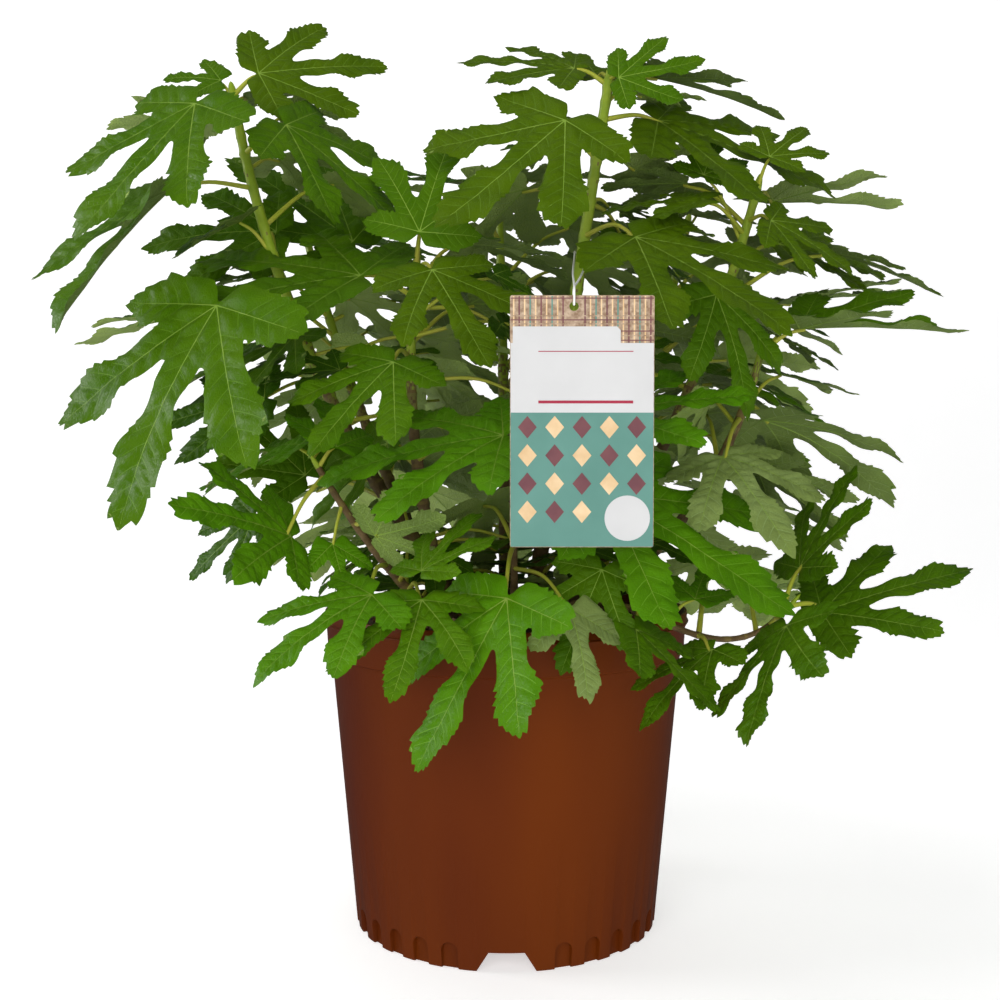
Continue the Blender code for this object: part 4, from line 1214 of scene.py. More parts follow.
class Infill:
    """The smaller leaves inside the crown, which grow where light still passes right through it."""

    centre = Vector((0.0, 0.02, 0.34))
    clear = 6 * MM
    low_clear = 2.5 * MM
    shell = 0.82
    front = -0.06
    low_top = 275 * MM
    low_radius = 135 * MM
    tries = 300
    lit = 0.25
    low_lit = 0.2
    low_slope = -0.1

    def __init__(self, leaves: dict[str, list[Leaf]]) -> None:
        """Note where the grown leaves lie and how far out they reach."""
        self.random = random.Random(SEED + 1)
        self.taken: list[tuple[Vector, BVHTree]] = []
        self.reach: dict[tuple[int, int], float] = {}
        self.points: list[Vector] = []
        self.faces: list[tuple[int, int, int]] = []
        self.ways = [
            Vector((math.cos(math.radians(turn)), math.sin(math.radians(turn)), 0))
            for turn in (0, 35, 65, 82, 90, 98, 115, 145)
        ]
        self.low_ways = [
            Vector((math.cos(math.radians(turn)), math.sin(math.radians(turn)), self.low_slope))
            for turn in (78, 84, 90, 96, 102)
        ]
        for found in leaves.values():
            for leaf in found:
                for point in self.take(leaf):
                    key, far = self.sector(point)
                    self.reach[key] = max(self.reach.get(key, 0), far)
        self.crown = BVHTree.FromPolygons(self.points, self.faces)

    def take(self, leaf: Leaf) -> list[Vector]:
        """Keep a leaf's space and give its points."""
        points, faces = leaf.plate()
        self.taken.append((points[0], BVHTree.FromPolygons(points, faces)))
        first = len(self.points)
        self.points += points
        self.faces += [tuple(first + k for k in face) for face in faces]
        return points

    def light(self, points: list[Vector], ways: list[Vector]) -> float:
        """In what share of views one sees right through the crown at a leaf."""
        free = [
            self.crown.ray_cast(point, way)[0] is None and self.crown.ray_cast(point, -way)[0] is None
            for point in points[::2] for way in ways
        ]
        return sum(free) / len(free)

    def sector(self, point: Vector) -> tuple[tuple[int, int], float]:
        """The direction and distance of a point from the crown's middle."""
        way = point - self.centre
        turn = math.degrees(math.atan2(way.y, way.x)) // 20
        rise = math.degrees(math.asin(way.z / way.length)) // 20
        return (int(turn), int(rise)), way.length

    def fits(self, leaf: Leaf, low: bool) -> bool:
        """Whether a leaf lies inside the crown, or low over the soil, in light and clear of others."""
        points, faces = leaf.plate()
        for point in points:
            key, far = self.sector(point)
            down = point.z < self.low_top and math.hypot(point.x, point.y) < self.low_radius
            if point.y < self.front or point.z < SOIL_TOP + 4 * MM or (low and not down):
                return False
            if far > self.shell * self.reach.get(key, 0) and not down:
                return False
        if low and self.light(points, self.low_ways) < self.low_lit:
            return False
        if not low and self.light(points, self.ways) < self.lit:
            return False
        own = BVHTree.FromPolygons(points, faces)
        for hub, tree in self.taken:
            if (hub - points[0]).length > 0.24:
                continue
            if own.overlap(tree):
                return False
            clear = self.low_clear if low else self.clear
            if any(tree.find_nearest(point, clear)[3] is not None for point in points):
                return False
        return True

    def candidate(self, cane: Cane, low: bool) -> Leaf:
        """One try at a leaf."""
        chance = self.random
        at = chance.uniform(0.02, 0.22) if low else chance.uniform(0.05, 0.95)
        turn = chance.uniform(0, 360)
        rise = math.radians(chance.uniform(-10, 30 if low else 50))
        stalk = chance.uniform(15, 70) if low else chance.uniform(20, 90)
        foot = cane.point(at) / MM
        heading = math.radians(turn)
        hub = (
            foot.x + stalk * math.cos(heading) * math.cos(rise),
            foot.y + stalk * math.sin(heading) * math.cos(rise),
            foot.z + stalk * math.sin(rise),
        )
        return Leaf(
            at, hub, chance.uniform(45, 80 if low else 98), turn + chance.uniform(-25, 25),
            chance.uniform(-25, 25) if low else chance.uniform(0, 70), chance.uniform(-35, 35),
            vee=chance.uniform(0, 0.25),
        )

    def grow(self, cane: Cane, count: int, low: bool) -> list[Leaf]:
        """Up to a number of further leaves on a cane, all over it or low over the soil."""
        found = []
        for _ in range(count):
            for _ in range(self.tries):
                leaf = self.candidate(cane, low)
                if self.fits(leaf, low):
                    found.append(leaf)
                    self.take(leaf)
                    self.crown = BVHTree.FromPolygons(self.points, self.faces)
                    break
        return found


@dataclass
class Foliage:
    """One cane's mass: its blades, ribs, veins and leaf stalks."""

    cane: Cane
    leaves: list[Leaf]
    inner: list[Leaf]
    maker: LeafMaker
    seed: int
    stalk_foot: float = 1.9 * MM
    stalk_top: float = 1.15 * MM

    def build(self) -> list[bpy.types.Object]:
        """Build the mass as four pieces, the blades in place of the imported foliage."""
        chance = random.Random(self.seed)
        blades, ribs, veins, stalks = Patchwork(), Patchwork(), Patchwork(), Patchwork()
        for number, leaf in enumerate(self.leaves + self.inner):
            inner = number >= len(self.leaves)
            shape = self.maker.shape(leaf, chance, inner)
            tint = self.tint(leaf, chance, inner).value
            under = len(LEAF_TOPS) + (chance.random() < 0.4)
            points, faces = self.maker.blade(shape)
            blades.add(points, faces, np.where(shape.pattern.is_top, tint, under))
            for above in (True, False):
                for points, faces in self.maker.streaks(shape, True, above):
                    ribs.add(points, faces)
                for points, faces in self.maker.streaks(shape, False, above):
                    veins.add(points, faces, tint if above else len(VEINS))
            stalks.add(*self.stalk(leaf))
        name = self.cane.name
        made = [
            blades.piece(f"blades_{name}", LEAF_TOPS + LEAF_UNDERS, 75),
            ribs.piece(f"ribs_{name}", [RIB], 170),
            veins.piece(f"veins_{name}", [*VEINS, VEIN_UNDER], 170),
            stalks.piece(f"stalks_{name}", [STALK], 170),
        ]
        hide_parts(f"foliage_{name}")
        return made

    def tint(self, leaf: Leaf, chance: random.Random, inner: bool) -> Tint:
        """Dealt out by cane, and to inner leaves by chance, mostly as painted shade."""
        draw = chance.random()
        if inner:
            # Inner leaves mostly get painted shade, for the shade inside the crown
            return Tint.PAINTED_SHADE if draw < 0.6 else Tint.MID
        most, rest = TONES[self.cane.name]
        return STANDING_OUT.get((leaf.hub[0], leaf.hub[2]), most if draw < 0.7 else rest)

    def stalk(self, leaf: Leaf) -> tuple[np.ndarray, np.ndarray]:
        """A round leaf stalk that swells at its foot."""
        rib, _, upper = leaf.axes()
        start = self.cane.point(leaf.at)
        end = Vector(leaf.hub) * MM + rib * (0.035 * leaf.blade * MM)
        span = (end - start).length
        bend = start.lerp(end, 0.55) + Vector((0, 0, 0.10 * span))
        low = end - upper * 0.9 * MM
        path = smooth_path([start, bend, low], 14)
        part = np.linspace(0, 1, len(path))
        thin = min(1.0, 0.5 + leaf.blade / 160)
        radii = self.stalk_top + (self.stalk_foot - self.stalk_top) * (1 - part) ** 2
        return tube(path, radii * thin, 8)


@dataclass
class Stem:
    """One cane from the soil to its tip, with its rings, its scars and its bark."""

    cane: Cane
    leaves: list[Leaf]
    seed: int
    ring_step: float = 2.2 * MM
    sides: int = 18
    node_gap: float = 17 * MM
    bark_top: float = 350 * MM

    def build(self) -> bpy.types.Object:
        """Build the stem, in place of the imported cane."""
        chance = np.random.default_rng(self.seed)
        cane = self.cane
        length = sum(
            (cane.point((k + 1) / 50) - cane.point(k / 50)).length for k in range(50)
        )
        count = int(length / self.ring_step)
        stops = np.linspace(0, 1, count)
        path = np.array([tuple(cane.point(t)) for t in stops])
        path[0, 2] = SOIL_TOP - 2 * MM
        plain = np.array([cane.radius(t) for t in stops])
        along = stops * length
        nodes = [leaf.at * length for leaf in self.leaves]
        place = 12 * MM
        while place < length:
            if min((abs(place - n) for n in nodes), default=1) > 8 * MM:
                nodes.append(place)
            place += self.node_gap * chance.uniform(0.7, 1.25)
        swell = np.zeros(count)
        for node in nodes:
            swell += 0.13 * np.exp(-(((along - node) / (1.6 * MM)) ** 2))
        radii = plain * (1 + swell)
        brown = 1 / (1 + np.exp((path[:, 2] - self.bark_top) / (22 * MM)))
        rough = chance.normal(0, 1, (count, self.sides))
        rough = (rough + np.roll(rough, 1, 0) + np.roll(rough, 1, 1)) / 3
        radii = radii[:, None] * (1 + rough * (0.012 + 0.035 * brown[:, None]))
        points, quads = tube(path, radii, self.sides)
        pieces = Patchwork()
        ring = np.repeat(np.arange(count - 1), self.sides)
        mix = brown[ring] + chance.normal(0, 0.13, len(ring))
        slots = np.where(mix > 0.62, 2, np.where(mix > 0.3, 1, 0))
        near = np.min(np.abs(along[ring][:, None] - np.array(nodes)[None]), axis=1)
        slots = np.where((near < 1.3 * MM) & (slots > 0), 3, slots)
        pieces.add(points, quads, slots)
        self.add_bud(pieces, path[-1], plain[-1])
        stem = pieces.piece(
            f"stem_{cane.name}", [CANE_GREEN, CANE_OLIVE, CANE_BROWN, CANE_SCAR], 80
        )
        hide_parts(f"cane_{cane.name}")
        return stem

    def add_bud(self, pieces: Patchwork, tip: np.ndarray, radius: float) -> None:
        """The pointed bud at the cane's tip."""
        ahead = np.array(self.cane.heading(1.0))
        part = np.linspace(0, 1, 9)
        path = tip + np.outer(part * 11 * MM - 1 * MM, ahead)
        radii = radius * 1.05 * np.sqrt(np.clip(1 - part**1.6, 0.0004, 1))
        pieces.add(*tube(path, radii, 12), 0)


# Pot, soil and tag


@dataclass
class Pot:
    """The round nursery pot, with its rim band, drain notches and fluted foot."""

    height: float = POT_HEIGHT
    ridge: float = 122.5 * MM
    lip: float = 121.5 * MM
    band: float = 119.5 * MM
    wall_top: float = 117.2 * MM
    base: float = 101 * MM
    step_drop: float = 28 * MM
    ridge_drop: float = 7 * MM
    wall: float = 2 * MM
    floor: float = 3 * MM
    foot_wall: float = 6 * MM
    foot_height: float = 19 * MM
    segments: int = 240
    plastic: Finish = Finish(
        "pot_brown", (0.076, 0.012, 0.003), (0.126, 0.024, 0.001), 0.40, "pot_plastic",
        6, 420, 0.00006, (1, 1, 0.3), 0.10,
    )

    def profile(self) -> list[tuple[float, float]]:
        """The turned section, from the middle of the underside out, up and back in."""
        step = self.height - self.step_drop
        ridge = self.height - self.ridge_drop
        foot = self.base + (self.wall_top - self.base) * self.foot_height / step
        return [
            (0, 0),
            (self.base - 1.2 * MM, 0),
            (self.base - 0.3 * MM, 0.35 * MM),
            (self.base, 1.2 * MM),
            (self.base + (self.wall_top - self.base) * 0.5, step * 0.5),
            (self.wall_top, step - 0.6 * MM),
            (self.wall_top + 0.5 * MM, step),
            (self.band - 0.3 * MM, step + 0.8 * MM),
            (self.band, step + 1.6 * MM),
            (self.band + 1 * MM, ridge - 3 * MM),
            (self.ridge - 0.3 * MM, ridge - 0.5 * MM),
            (self.ridge, ridge),
            (self.ridge - 0.3 * MM, ridge + 0.6 * MM),
            (self.lip, ridge + 1 * MM),
            (self.lip, self.height - 0.6 * MM),
            (self.lip - 0.5 * MM, self.height),
            (self.lip - 1.5 * MM, self.height),
            (self.lip - 2 * MM, self.height - 0.6 * MM),
            (self.band - self.wall, step + 2 * MM),
            (self.wall_top - self.wall, step - 2 * MM),
            (foot + 0.4 * MM - self.wall, self.foot_height + 5 * MM),
            (foot - self.foot_wall, self.foot_height),
            (self.base - self.foot_wall, self.floor),
            (0, self.floor),
        ]

    def turned(self, name: str) -> bpy.types.Object:
        """Turn the section about the upright axis."""
        points: list[tuple[float, float, float]] = []
        rings = []
        for radius, height in self.profile():
            if radius < 1e-9:
                rings.append([len(points)] * self.segments)
                points.append((0, 0, height))
                continue
            rings.append(list(range(len(points), len(points) + self.segments)))
            for k in range(self.segments):
                angle = 2 * math.pi * (k + 0.5) / self.segments
                points.append((radius * math.cos(angle), radius * math.sin(angle), height))
        faces = []
        for ring, following in zip(rings, rings[1:] + rings[:1]):
            for k in range(self.segments):
                j = (k + 1) % self.segments
                face = list(dict.fromkeys([ring[k], ring[j], following[j], following[k]]))
                if len(face) > 2:
                    faces.append(face)
        return solid(name, points, faces)

    def cutter(
        self, outline: list[tuple[float, float]], near: float, far: float, angle: float
    ) -> bpy.types.Object:
        """A prism with its outline across the wall, from radius near to far at an angle."""
        out = Vector((math.cos(angle), math.sin(angle), 0))
        across = Vector((-math.sin(angle), math.cos(angle), 0))
        points = [
            tuple(out * radius + across * x + Vector((0, 0, z)))
            for radius in (near, far) for x, z in outline
        ]
        count = len(outline)
        faces = [list(range(count))[::-1], list(range(count, 2 * count))]
        faces += [[k, (k + 1) % count, count + (k + 1) % count, count + k] for k in range(count)]
        return solid("cutter", points, faces)

    def notch(self, grow: float, foot: float) -> list[tuple[float, float]]:
        """Outline of a drain notch, grown on its sides and top."""
        lean = 7.5 / 12.5
        side = 18.5 * MM + grow * math.hypot(1, lean)
        head = 12.5 * MM + grow
        low, top = side - lean * foot, side - lean * head
        return [(-low, foot), (low, foot), (top, head), (-top, head)]

    def build(self) -> bpy.types.Object:
        """Build the pot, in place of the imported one."""
        pot = self.turned("nursery_pot")
        notches = [math.radians(-90 + 120 * k) for k in range(3)]
        inside_radius = self.base - 35 * MM
        roofs = [
            self.cutter(self.notch(2 * MM, MM), inside_radius - 2 * MM, self.base - 2 * MM, angle)
            for angle in notches
        ]
        boolean(pot, roofs, "UNION")
        cutters = [
            self.cutter(self.notch(0, -5 * MM), inside_radius, self.base + 10 * MM, angle)
            for angle in notches
        ]
        half, top = 5.5 * MM, 17 * MM
        arch = [(-half, -5 * MM), (half, -5 * MM)]
        for k in range(13):
            turn = math.pi * k / 12
            arch.append((half * math.cos(turn), top - half + half * math.sin(turn)))
        for angle in notches:
            for turn in np.linspace(20, 100, 8):
                cutters.append(self.cutter(
                    arch, self.base - 3 * MM, self.base + 10 * MM, angle + math.radians(turn)
                ))
        boolean(pot, cutters, "DIFFERENCE")
        soften(pot, 0.45 * MM, 40)
        pot.data.materials.clear()
        pot.data.materials.append(self.plastic.material())
        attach(pot, BODY)
        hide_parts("pot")
        LOG.info("%s: %d faces", pot.name, len(pot.data.polygons))
        return pot


def solid(name: str, points: list, faces: list) -> bpy.types.Object:
    """Make an object from points and faces, with its faces turned outward."""
    mesh = bpy.data.meshes.new(name)
    mesh.from_pydata([tuple(p) for p in points], [], faces)
    work = bmesh.new()
    work.from_mesh(mesh)
    bmesh.ops.recalc_face_normals(work, faces=work.faces)
    work.to_mesh(mesh)
    work.free()
    obj = bpy.data.objects.new(name, mesh)
    bpy.context.scene.collection.objects.link(obj)
    return obj


def boolean(target: bpy.types.Object, others: list[bpy.types.Object], operation: str) -> None:
    """Run one exact Boolean of target with others, then remove the others."""
    group = bpy.data.collections.new("operands")
    bpy.context.scene.collection.children.link(group)
    for other in others:
        group.objects.link(other)
    change = target.modifiers.new("combine", "BOOLEAN")
    change.operation = operation
    change.solver = "EXACT"
    change.operand_type = "COLLECTION"
    change.collection = group
    change.use_self = operation == "UNION"
    bpy.context.view_layer.objects.active = target
    bpy.ops.object.modifier_apply(modifier=change.name)
    for other in others:
        bpy.data.objects.remove(other, do_unlink=True)
    bpy.data.collections.remove(group)


def soften(obj: bpy.types.Object, width: float, angle_deg: float) -> None:
    """Round an object's sharper edges and shade it smooth."""
    change = obj.modifiers.new("soften", "BEVEL")
    change.width = width
    change.segments = 2
    change.limit_method = "ANGLE"
    change.angle_limit = math.radians(angle_deg)
    change.harden_normals = False
    bpy.context.view_layer.objects.active = obj
    bpy.ops.object.modifier_apply(modifier=change.name)
    obj.data.shade_smooth()
    obj.data.set_sharp_from_angle(angle=math.radians(45))


@dataclass
class PottingMix:
    """The heaped potting mix and the bark chips on it."""

    crown: float = 78 * MM
    edge: float = 116.5 * MM
    edge_height: float = 189 * MM
    chips: int = 900
    crumb: Finish = Finish(
        "mix_crumb", (0.030, 0.016, 0.009), (0.070, 0.038, 0.020), 0.95, "potting_mix", 260, 420, 0.002
    )
    chip_finishes: tuple[Finish, ...] = (
        Finish("chip_dark", (0.035, 0.018, 0.010), (0.07, 0.035, 0.018), 0.85, "potting_mix", 300, 600, 0.001),
        Finish("chip_red", (0.10, 0.042, 0.020), (0.16, 0.075, 0.035), 0.85, "potting_mix", 300, 600, 0.001),
        Finish("chip_tan", (0.19, 0.11, 0.06), (0.26, 0.16, 0.09), 0.85, "potting_mix", 300, 600, 0.001),
    )

    def height(self, radius: np.ndarray) -> np.ndarray:
        """Height of the heap at a radius."""
        return np.interp(radius, [0, self.crown, 98 * MM, self.edge],
                         [SOIL_TOP, SOIL_TOP, SOIL_TOP - 6 * MM, self.edge_height])

    def build(self) -> bpy.types.Object:
        """Build the heap and the chips, in place of the packed soil."""
        chance = np.random.default_rng(SEED)
        pieces = Patchwork()
        rings, spokes = 46, 180
        radii = np.linspace(0.5 * MM, self.edge, rings)
        turn = np.linspace(0, 2 * np.pi, spokes, endpoint=False)
        r, a = np.meshgrid(radii, turn, indexing="ij")
        z = self.height(r) - 2.2 * MM + chance.normal(0, 0.7 * MM, r.shape)
        points = np.stack([r * np.cos(a), r * np.sin(a), z], 2).reshape(-1, 3)
        k = np.arange(spokes)
        m = (k + 1) % spokes
        quads = np.concatenate([
            np.stack([i * spokes + k, i * spokes + m, (i + 1) * spokes + m, (i + 1) * spokes + k], 1)
            for i in range(rings - 1)
        ])
        pieces.add(points, quads[:, ::-1], 0)
        for _ in range(self.chips):
            self.add_chip(pieces, chance)
        mix = pieces.piece("potting_mix", [self.crumb, *self.chip_finishes], 50)
        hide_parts("soil")
        return mix

    def add_chip(self, pieces: Patchwork, chance: np.random.Generator) -> None:
        """One broken chip of bark lying on the heap."""
        radius = self.edge * 0.97 * math.sqrt(chance.uniform(0, 1))
        turn = chance.uniform(0, 2 * math.pi)
        size = np.array([chance.uniform(3, 11), chance.uniform(2, 6), chance.uniform(1, 3)]) * MM / 2
        ring = np.array([(1, 0.2), (0.5, 1), (-0.6, 0.9), (-1, -0.1), (-0.4, -1), (0.6, -0.8)])
        ring = ring * chance.uniform(0.75, 1.1, ring.shape)
        top = np.column_stack([ring * 0.8, np.ones(6)])
        low = np.column_stack([ring, -np.ones(6)])
        points = np.concatenate([top, low, [[0, 0, 1.3]], [[0, 0, -1.1]]]) * size
        spin, lean = chance.uniform(0, 6.28), chance.normal(0, 0.35, 2)
        c, s = math.cos(spin), math.sin(spin)
        points = points @ np.array([[c, s, 0], [-s, c, 0], [0, 0, 1]])
        points[:, 2] += points[:, 0] * lean[0] + points[:, 1] * lean[1]
        height = float(self.height(np.array(radius)))
        points += (radius * math.cos(turn), radius * math.sin(turn), height - 1.6 * MM)
        k = np.arange(6)
        m = (k + 1) % 6
        faces = np.concatenate([
            np.stack([k, m, np.full(6, 12)], 1), np.stack([6 + m, 6 + k, np.full(6, 13)], 1),
            np.stack([6 + k, 6 + m, m], 1), np.stack([6 + k, m, k], 1),
        ])
        pieces.add(points, faces, 1 + int(chance.choice(3, p=[0.5, 0.33, 0.17])))


@dataclass
class HangTag:
    """The card with its plain printed panels, and the loop that holds it."""

    width: float = 79 * MM
    height: float = 138 * MM
    thickness: float = 1 * MM
    hole: float = 2.6 * MM
    hole_drop: float = 6 * MM
    hole_offset: float = -4.5 * MM
    ink: float = 0.06 * MM
    card: Finish = Finish(
        "card_white", (0.55, 0.55, 0.55), (0.58, 0.58, 0.58), 0.45, "tag_card", 40, 800, 0.00003
    )
    weave: Finish = Finish(
        "tag_weave", (0.24, 0.15, 0.09), (0.50, 0.38, 0.27), 0.5, "tag_card", 420, 800, 0.0001
    )
    band: Finish = Finish(
        "tag_band", (0.33, 0.02, 0.05), (0.36, 0.025, 0.055), 0.4, "tag_card", 40, 800, 0.00002
    )
    field_print: Finish = Finish(
        "tag_field", (0.094, 0.235, 0.195), (0.114, 0.270, 0.226), 0.45, "tag_card", 30, 800, 0.00002
    )
    dark_print: Finish = Finish(
        "tag_dark", (0.14, 0.05, 0.06), (0.19, 0.07, 0.075), 0.4, "tag_card", 60, 800, 0.00002
    )
    cream_print: Finish = Finish(
        "tag_cream", (0.62, 0.42, 0.22), (0.74, 0.55, 0.33), 0.4, "tag_card", 90, 800, 0.00002
    )
    loop_finish: Finish = Finish(
        "loop_white", (0.82, 0.82, 0.80), (0.86, 0.86, 0.84), 0.35, "loop_plastic", 40, 800, 0.00003
    )

    def build(self, cane: Cane) -> list[bpy.types.Object]:
        """Build the card and the loop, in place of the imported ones."""
        x, y, z = TAG_CENTRE
        half_w, half_h, half_t = self.width / 2, self.height / 2, self.thickness / 2
        sheets = Patchwork()
        card = rounded(half_w, half_h, 1.2 * MM, 5)
        hole = [
            (self.hole_offset + self.hole * math.cos(2 * math.pi * k / 24),
             half_h - self.hole_drop + self.hole * math.sin(2 * math.pi * k / 24))
            for k in range(24)
        ]
        self.add_plate(sheets, card, [hole], y - half_t + 0.1 * MM, y + half_t, 0)
        face = y - half_t
        self.add_plate(sheets, shifted(card, 0, 0), [hole], face, face + 0.1 * MM, 1)
        lower = boxed(-half_w + 0.3 * MM, half_w - 0.3 * MM, -half_h + 0.3 * MM, 11 * MM)
        self.add_plate(sheets, lower, [], face - self.ink, face, 3)
        panel = boxed(-half_w + 0.3 * MM, half_w - 0.3 * MM, 5 * MM, 43 * MM)
        self.add_plate(sheets, panel, [], face - 2 * self.ink, face, 0)
        tab = [(-38 * MM, 42.9 * MM), (21 * MM, 42.9 * MM), (21 * MM, 50 * MM), (19 * MM, 52 * MM),
               (-38 * MM, 52 * MM)]
        self.add_plate(sheets, tab, [], face - 2.5 * self.ink, face, 0)
        for low, high in ((10 * MM, 11.6 * MM), (38.2 * MM, 38.7 * MM)):
            line = boxed(-24 * MM, 28 * MM, low, high)
            self.add_plate(sheets, line, [], face - 3 * self.ink, face, 2)
        for row in range(4):
            for column in range(5):
                middle_x = (-30 + 15 * column) * MM
                middle_z = (-3 - 15.5 * row) * MM
                if column > 2 and row > 2:
                    continue
                slot = 5 if (row + column) % 2 else 4
                shape = diamond(middle_x, middle_z, 5.2 * MM, 6.2 * MM)
                self.add_plate(sheets, shape, [], face - 2 * self.ink, face, slot)
        for k in range(26):
            middle_x = (-37.5 + 3 * k) * MM
            if abs(middle_x - self.hole_offset) > 4 * MM:
                low = 52 * MM if middle_x < 21 * MM else 43 * MM
                thread = boxed(middle_x - 0.4 * MM, middle_x + 0.4 * MM, low, half_h - 0.4 * MM)
                self.add_plate(sheets, thread, [], face - 0.7 * self.ink, face, (5, 4, 5, 3)[k % 4])
        for k, middle_z in enumerate((44.5, 47, 49.5, 53.4, 55.6, 57.8, 67.4)):
            left = -half_w + 0.3 * MM if middle_z > 52 else 21.2 * MM
            thread = boxed(left, half_w - 0.3 * MM, (middle_z - 0.3) * MM, (middle_z + 0.3) * MM)
            self.add_plate(sheets, thread, [], face - self.ink, face, (4, 1)[k % 2])
        seal = oval(25 * MM, -53 * MM, 12.5 * MM, 12.5 * MM)
        self.add_plate(sheets, seal, [], face - 3 * self.ink, face, 0)
        for points in sheets.points:
            points += (x, 0, z)
        tag = sheets.piece(
            "hang_tag_card",
            [self.card, self.weave, self.band, self.field_print, self.dark_print, self.cream_print],
            30,
        )
        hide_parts("hang_tag")
        return [tag, self.build_loop(cane)]

    def add_plate(
        self, sheets: Patchwork, outline: list[tuple[float, float]],
        holes: list[list[tuple[float, float]]], near: float, far: float, slot: int,
    ) -> None:
        """A flat plate between two depths, with an outline seen from the camera."""
        rings = [outline, *holes]
        flat = [Vector(p) for ring in rings for p in ring]
        starts = np.cumsum([0] + [len(ring) for ring in rings])
        loops = [list(range(starts[k], starts[k + 1])) for k in range(len(rings))]
        edges = [(a, b) for loop in loops for a, b in zip(loop, loop[1:] + loop[:1])]
        corners, _, faces, _, _, _ = delaunay_2d_cdt(flat, edges, [], 1, 1e-7, True)
        kept = []
        for face in faces:
            middle = np.mean([corners[k] for k in face], axis=0)[None]
            if any(inside(middle, np.array(hole))[0] for hole in holes):
                continue
            if not inside(middle, np.array(outline))[0]:
                continue
            kept.append(list(face))
        count = len(corners)
        front = np.array([(p[0], near, p[1]) for p in corners])
        back = front + (0, far - near, 0)
        faces_front = np.array(kept)
        sheets.add(np.concatenate([front, back]),
                   np.concatenate([faces_front, faces_front[:, ::-1] + count]), slot)
        for number, loop in enumerate(loops):
            k = np.arange(len(loop)) + starts[number]
            m = np.roll(k, -1)
            if number:
                k, m = m, k
            sheets.add(np.concatenate([front, back]), np.stack([k, count + k, count + m, m], 1), slot)

    def build_loop(self, cane: Cane) -> bpy.types.Object:
        """The thin closed loop through the hole and round the cane."""
        radius = 0.6 * MM
        round_cane = cane.point(LOOP_HEIGHT_ON_CANE)
        cane_gap = cane.radius(LOOP_HEIGHT_ON_CANE) + GAP + radius + 0.3 * MM
        x, y, z = TAG_CENTRE
        hole = Vector((x + self.hole_offset, y, z + self.height / 2 - self.hole_drop))
        low = hole + Vector((0, 0, self.hole - GAP - radius - 0.15 * MM))
        tag_gap = self.thickness / 2 + GAP + radius + 0.15 * MM
        above = Vector((hole.x, y, z + self.height / 2 + 4 * MM))
        path = []
        for k in range(5):
            angle = math.pi * k / 4
            path.append(low + Vector((0, tag_gap * math.cos(angle), 0))
                        - Vector((0, 0, 0.35 * tag_gap * math.sin(angle))))
        strand = []
        for k in range(7):
            part = k / 6
            turn = math.radians(90) * min(part * 2.5, 1)
            gap = tag_gap + (cane_gap - tag_gap) * part
            off = Vector((-math.sin(turn), -math.cos(turn), 0)) * gap
            strand.append((above.lerp(round_cane, part), off))
        path += [centre + off for centre, off in strand]
        for k in range(1, 6):
            angle = math.pi * k / 6
            path.append(round_cane + Vector((-math.cos(angle), math.sin(angle), 0)) * cane_gap)
        path += [centre - off for centre, off in reversed(strand)]
        dense = smooth_path(path + [path[0]], 160)
        pieces = Patchwork()
        pieces.add(*tube(dense, np.full(len(dense), radius), 10))
        loop = pieces.piece("tag_thread", [self.loop_finish], 170)
        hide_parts("tag_loop")
        return loop


def boxed(left: float, right: float, low: float, high: float) -> list[tuple[float, float]]:
    """A rectangle's corners."""
    return [(left, low), (right, low), (right, high), (left, high)]


def shifted(ring: list[tuple[float, float]], x: float, z: float) -> list[tuple[float, float]]:
    """An outline moved across a card."""
    return [(a + x, b + z) for a, b in ring]


def diamond(x: float, z: float, wide: float, high: float) -> list[tuple[float, float]]:
    """A diamond's corners."""
    return [(x, z - high), (x + wide, z), (x, z + high), (x - wide, z)]


def oval(x: float, z: float, wide: float, high: float) -> list[tuple[float, float]]:
    """An oval's outline."""
    turns = [2 * math.pi * k / 40 for k in range(40)]
    return [(x + wide * math.cos(t), z + high * math.sin(t)) for t in turns]


def rounded(half_w: float, half_h: float, radius: float, steps: int) -> list[tuple[float, float]]:
    """A rectangle with rounded corners."""
    ring = []
    for quarter, (sx, sz) in enumerate(((1, 1), (-1, 1), (-1, -1), (1, -1))):
        for k in range(steps + 1):
            turn = math.pi / 2 * (quarter + k / steps)
            ring.append((sx * (half_w - radius) + radius * math.cos(turn),
                         sz * (half_h - radius) + radius * math.sin(turn)))
    return ring


# The studio


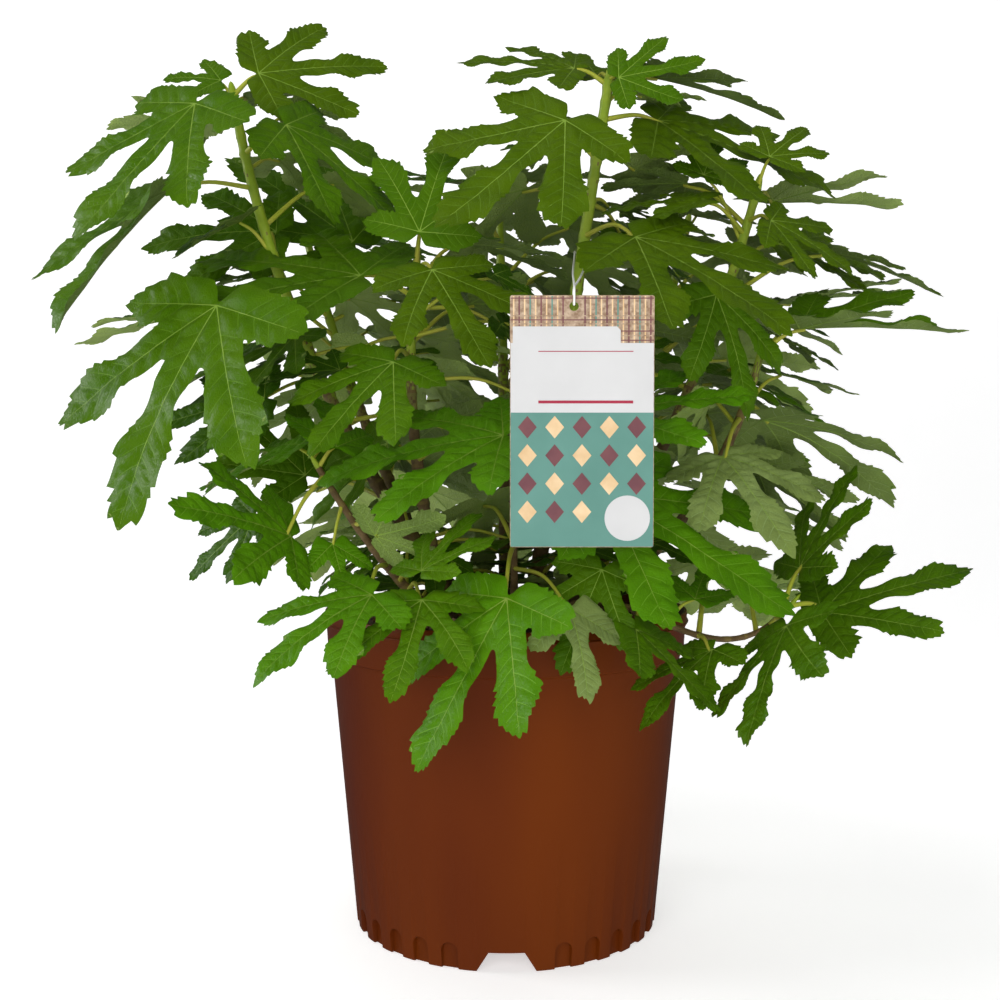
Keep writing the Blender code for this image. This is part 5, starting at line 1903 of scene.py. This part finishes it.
@dataclass
class Studio:
    """The pale floor, the lights and the camera."""

    floor_shade: tuple[float, float, float] = (0.8, 0.8, 0.8)
    floor_glow: float = 0.54

    def build(self) -> None:
        """Set everything that isn't part of the plant."""
        bpy.context.scene.view_settings.view_transform = "Standard"
        self.build_floor()
        self.build_world()
        self.add_light("key", (-2.0, 0.1, 1.1), (0, 0, 0.35), 0.9, 16)
        for name, place, size, power in (
            ("front", (-0.5, -2.0, 0.75), 1.6, 29), ("side", (0.9, -1.8, 0.4), 1.6, 15),
            ("top", (-0.5, -0.1, 2.2), 1.0, 9),
        ):
            soft = self.add_light(name, place, (0, 0, 0.3), size, power)
            soft.visible_glossy = False
        self.add_camera()

    def build_floor(self) -> None:
        """A floor that sweeps up behind."""
        count, wide = 24, 4.0
        profile = [(-3.0, 0.0), (1.2, 0.0)]
        for k in range(1, count + 1):
            turn = math.pi / 2 * k / count
            profile.append((1.2 + 1.0 * math.sin(turn), 1.0 - 1.0 * math.cos(turn)))
        profile.append((2.2, 4.0))
        points = [(x, y, z) for y, z in profile for x in (-wide, wide)]
        faces = [[2 * k, 2 * k + 1, 2 * k + 3, 2 * k + 2] for k in range(len(profile) - 1)]
        floor = solid("floor", points, faces)
        floor.data.shade_smooth()
        made = bpy.data.materials.new("floor_white")
        made.use_nodes = True
        shader = made.node_tree.nodes["Principled BSDF"]
        shader.inputs["Base Color"].default_value = (*self.floor_shade, 1)
        shader.inputs["Roughness"].default_value = 0.9
        shader.inputs["Emission Color"].default_value = (1, 1, 1, 1)
        shader.inputs["Emission Strength"].default_value = self.floor_glow
        floor.data.materials.append(made)
        floor.visible_glossy = False

    def build_world(self) -> None:
        """Even white light all round."""
        world = bpy.data.worlds.new("studio")
        bpy.context.scene.world = world
        world.use_nodes = True
        back = world.node_tree.nodes["Background"]
        back.inputs["Color"].default_value = (1, 1, 1, 1)
        back.inputs["Strength"].default_value = 0.10

    def add_light(
        self, name: str, place: tuple[float, float, float], target: tuple[float, float, float],
        size: float, power: float,
    ) -> bpy.types.Object:
        """A soft square light that faces a target."""
        data = bpy.data.lights.new(name, "AREA")
        data.size = size
        data.energy = power
        light = bpy.data.objects.new(name, data)
        light.location = place
        aim = Vector(target) - Vector(place)
        light.rotation_euler = aim.to_track_quat("-Z", "Y").to_euler()
        bpy.context.scene.collection.objects.link(light)
        return light

    def add_camera(self) -> None:
        """The camera at the photograph's viewpoint."""
        data = bpy.data.cameras.new("camera")
        data.sensor_width = 36
        data.lens = 45.3
        camera = bpy.data.objects.new("camera", data)
        camera.location = (-0.004, -0.85, 0.318)
        camera.rotation_euler = (math.radians(87.6), 0, 0)
        bpy.context.scene.collection.objects.link(camera)
        bpy.context.scene.camera = camera


def main() -> None:
    """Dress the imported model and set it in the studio."""
    logging.basicConfig(level=logging.INFO, format="%(message)s")
    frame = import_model()
    Studio().build()
    Pot().build()
    PottingMix().build()
    middle = next(cane for cane in CANES if cane.name == "middle_tall")
    HangTag().build(middle)
    leaves = Rule(frame["nodes"]).leaves()
    LOG.info("leaves %s", {name: len(found) for name, found in leaves.items()})
    maker = LeafMaker()
    infill = Infill(leaves)
    low = {cane.name: infill.grow(cane, LOW_LEAVES, True) for cane in CANES}
    for number, cane in enumerate(CANES):
        grown = leaves[cane.name]
        inner = low[cane.name] + infill.grow(cane, INNER_LEAVES, False)
        LOG.info("%s: %d inner leaves", cane.name, len(inner))
        Stem(cane, grown + inner, 500 + number).build()
        Foliage(cane, grown, inner, maker, 300 + number).build()
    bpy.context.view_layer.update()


if __name__ == "__main__":
    main()
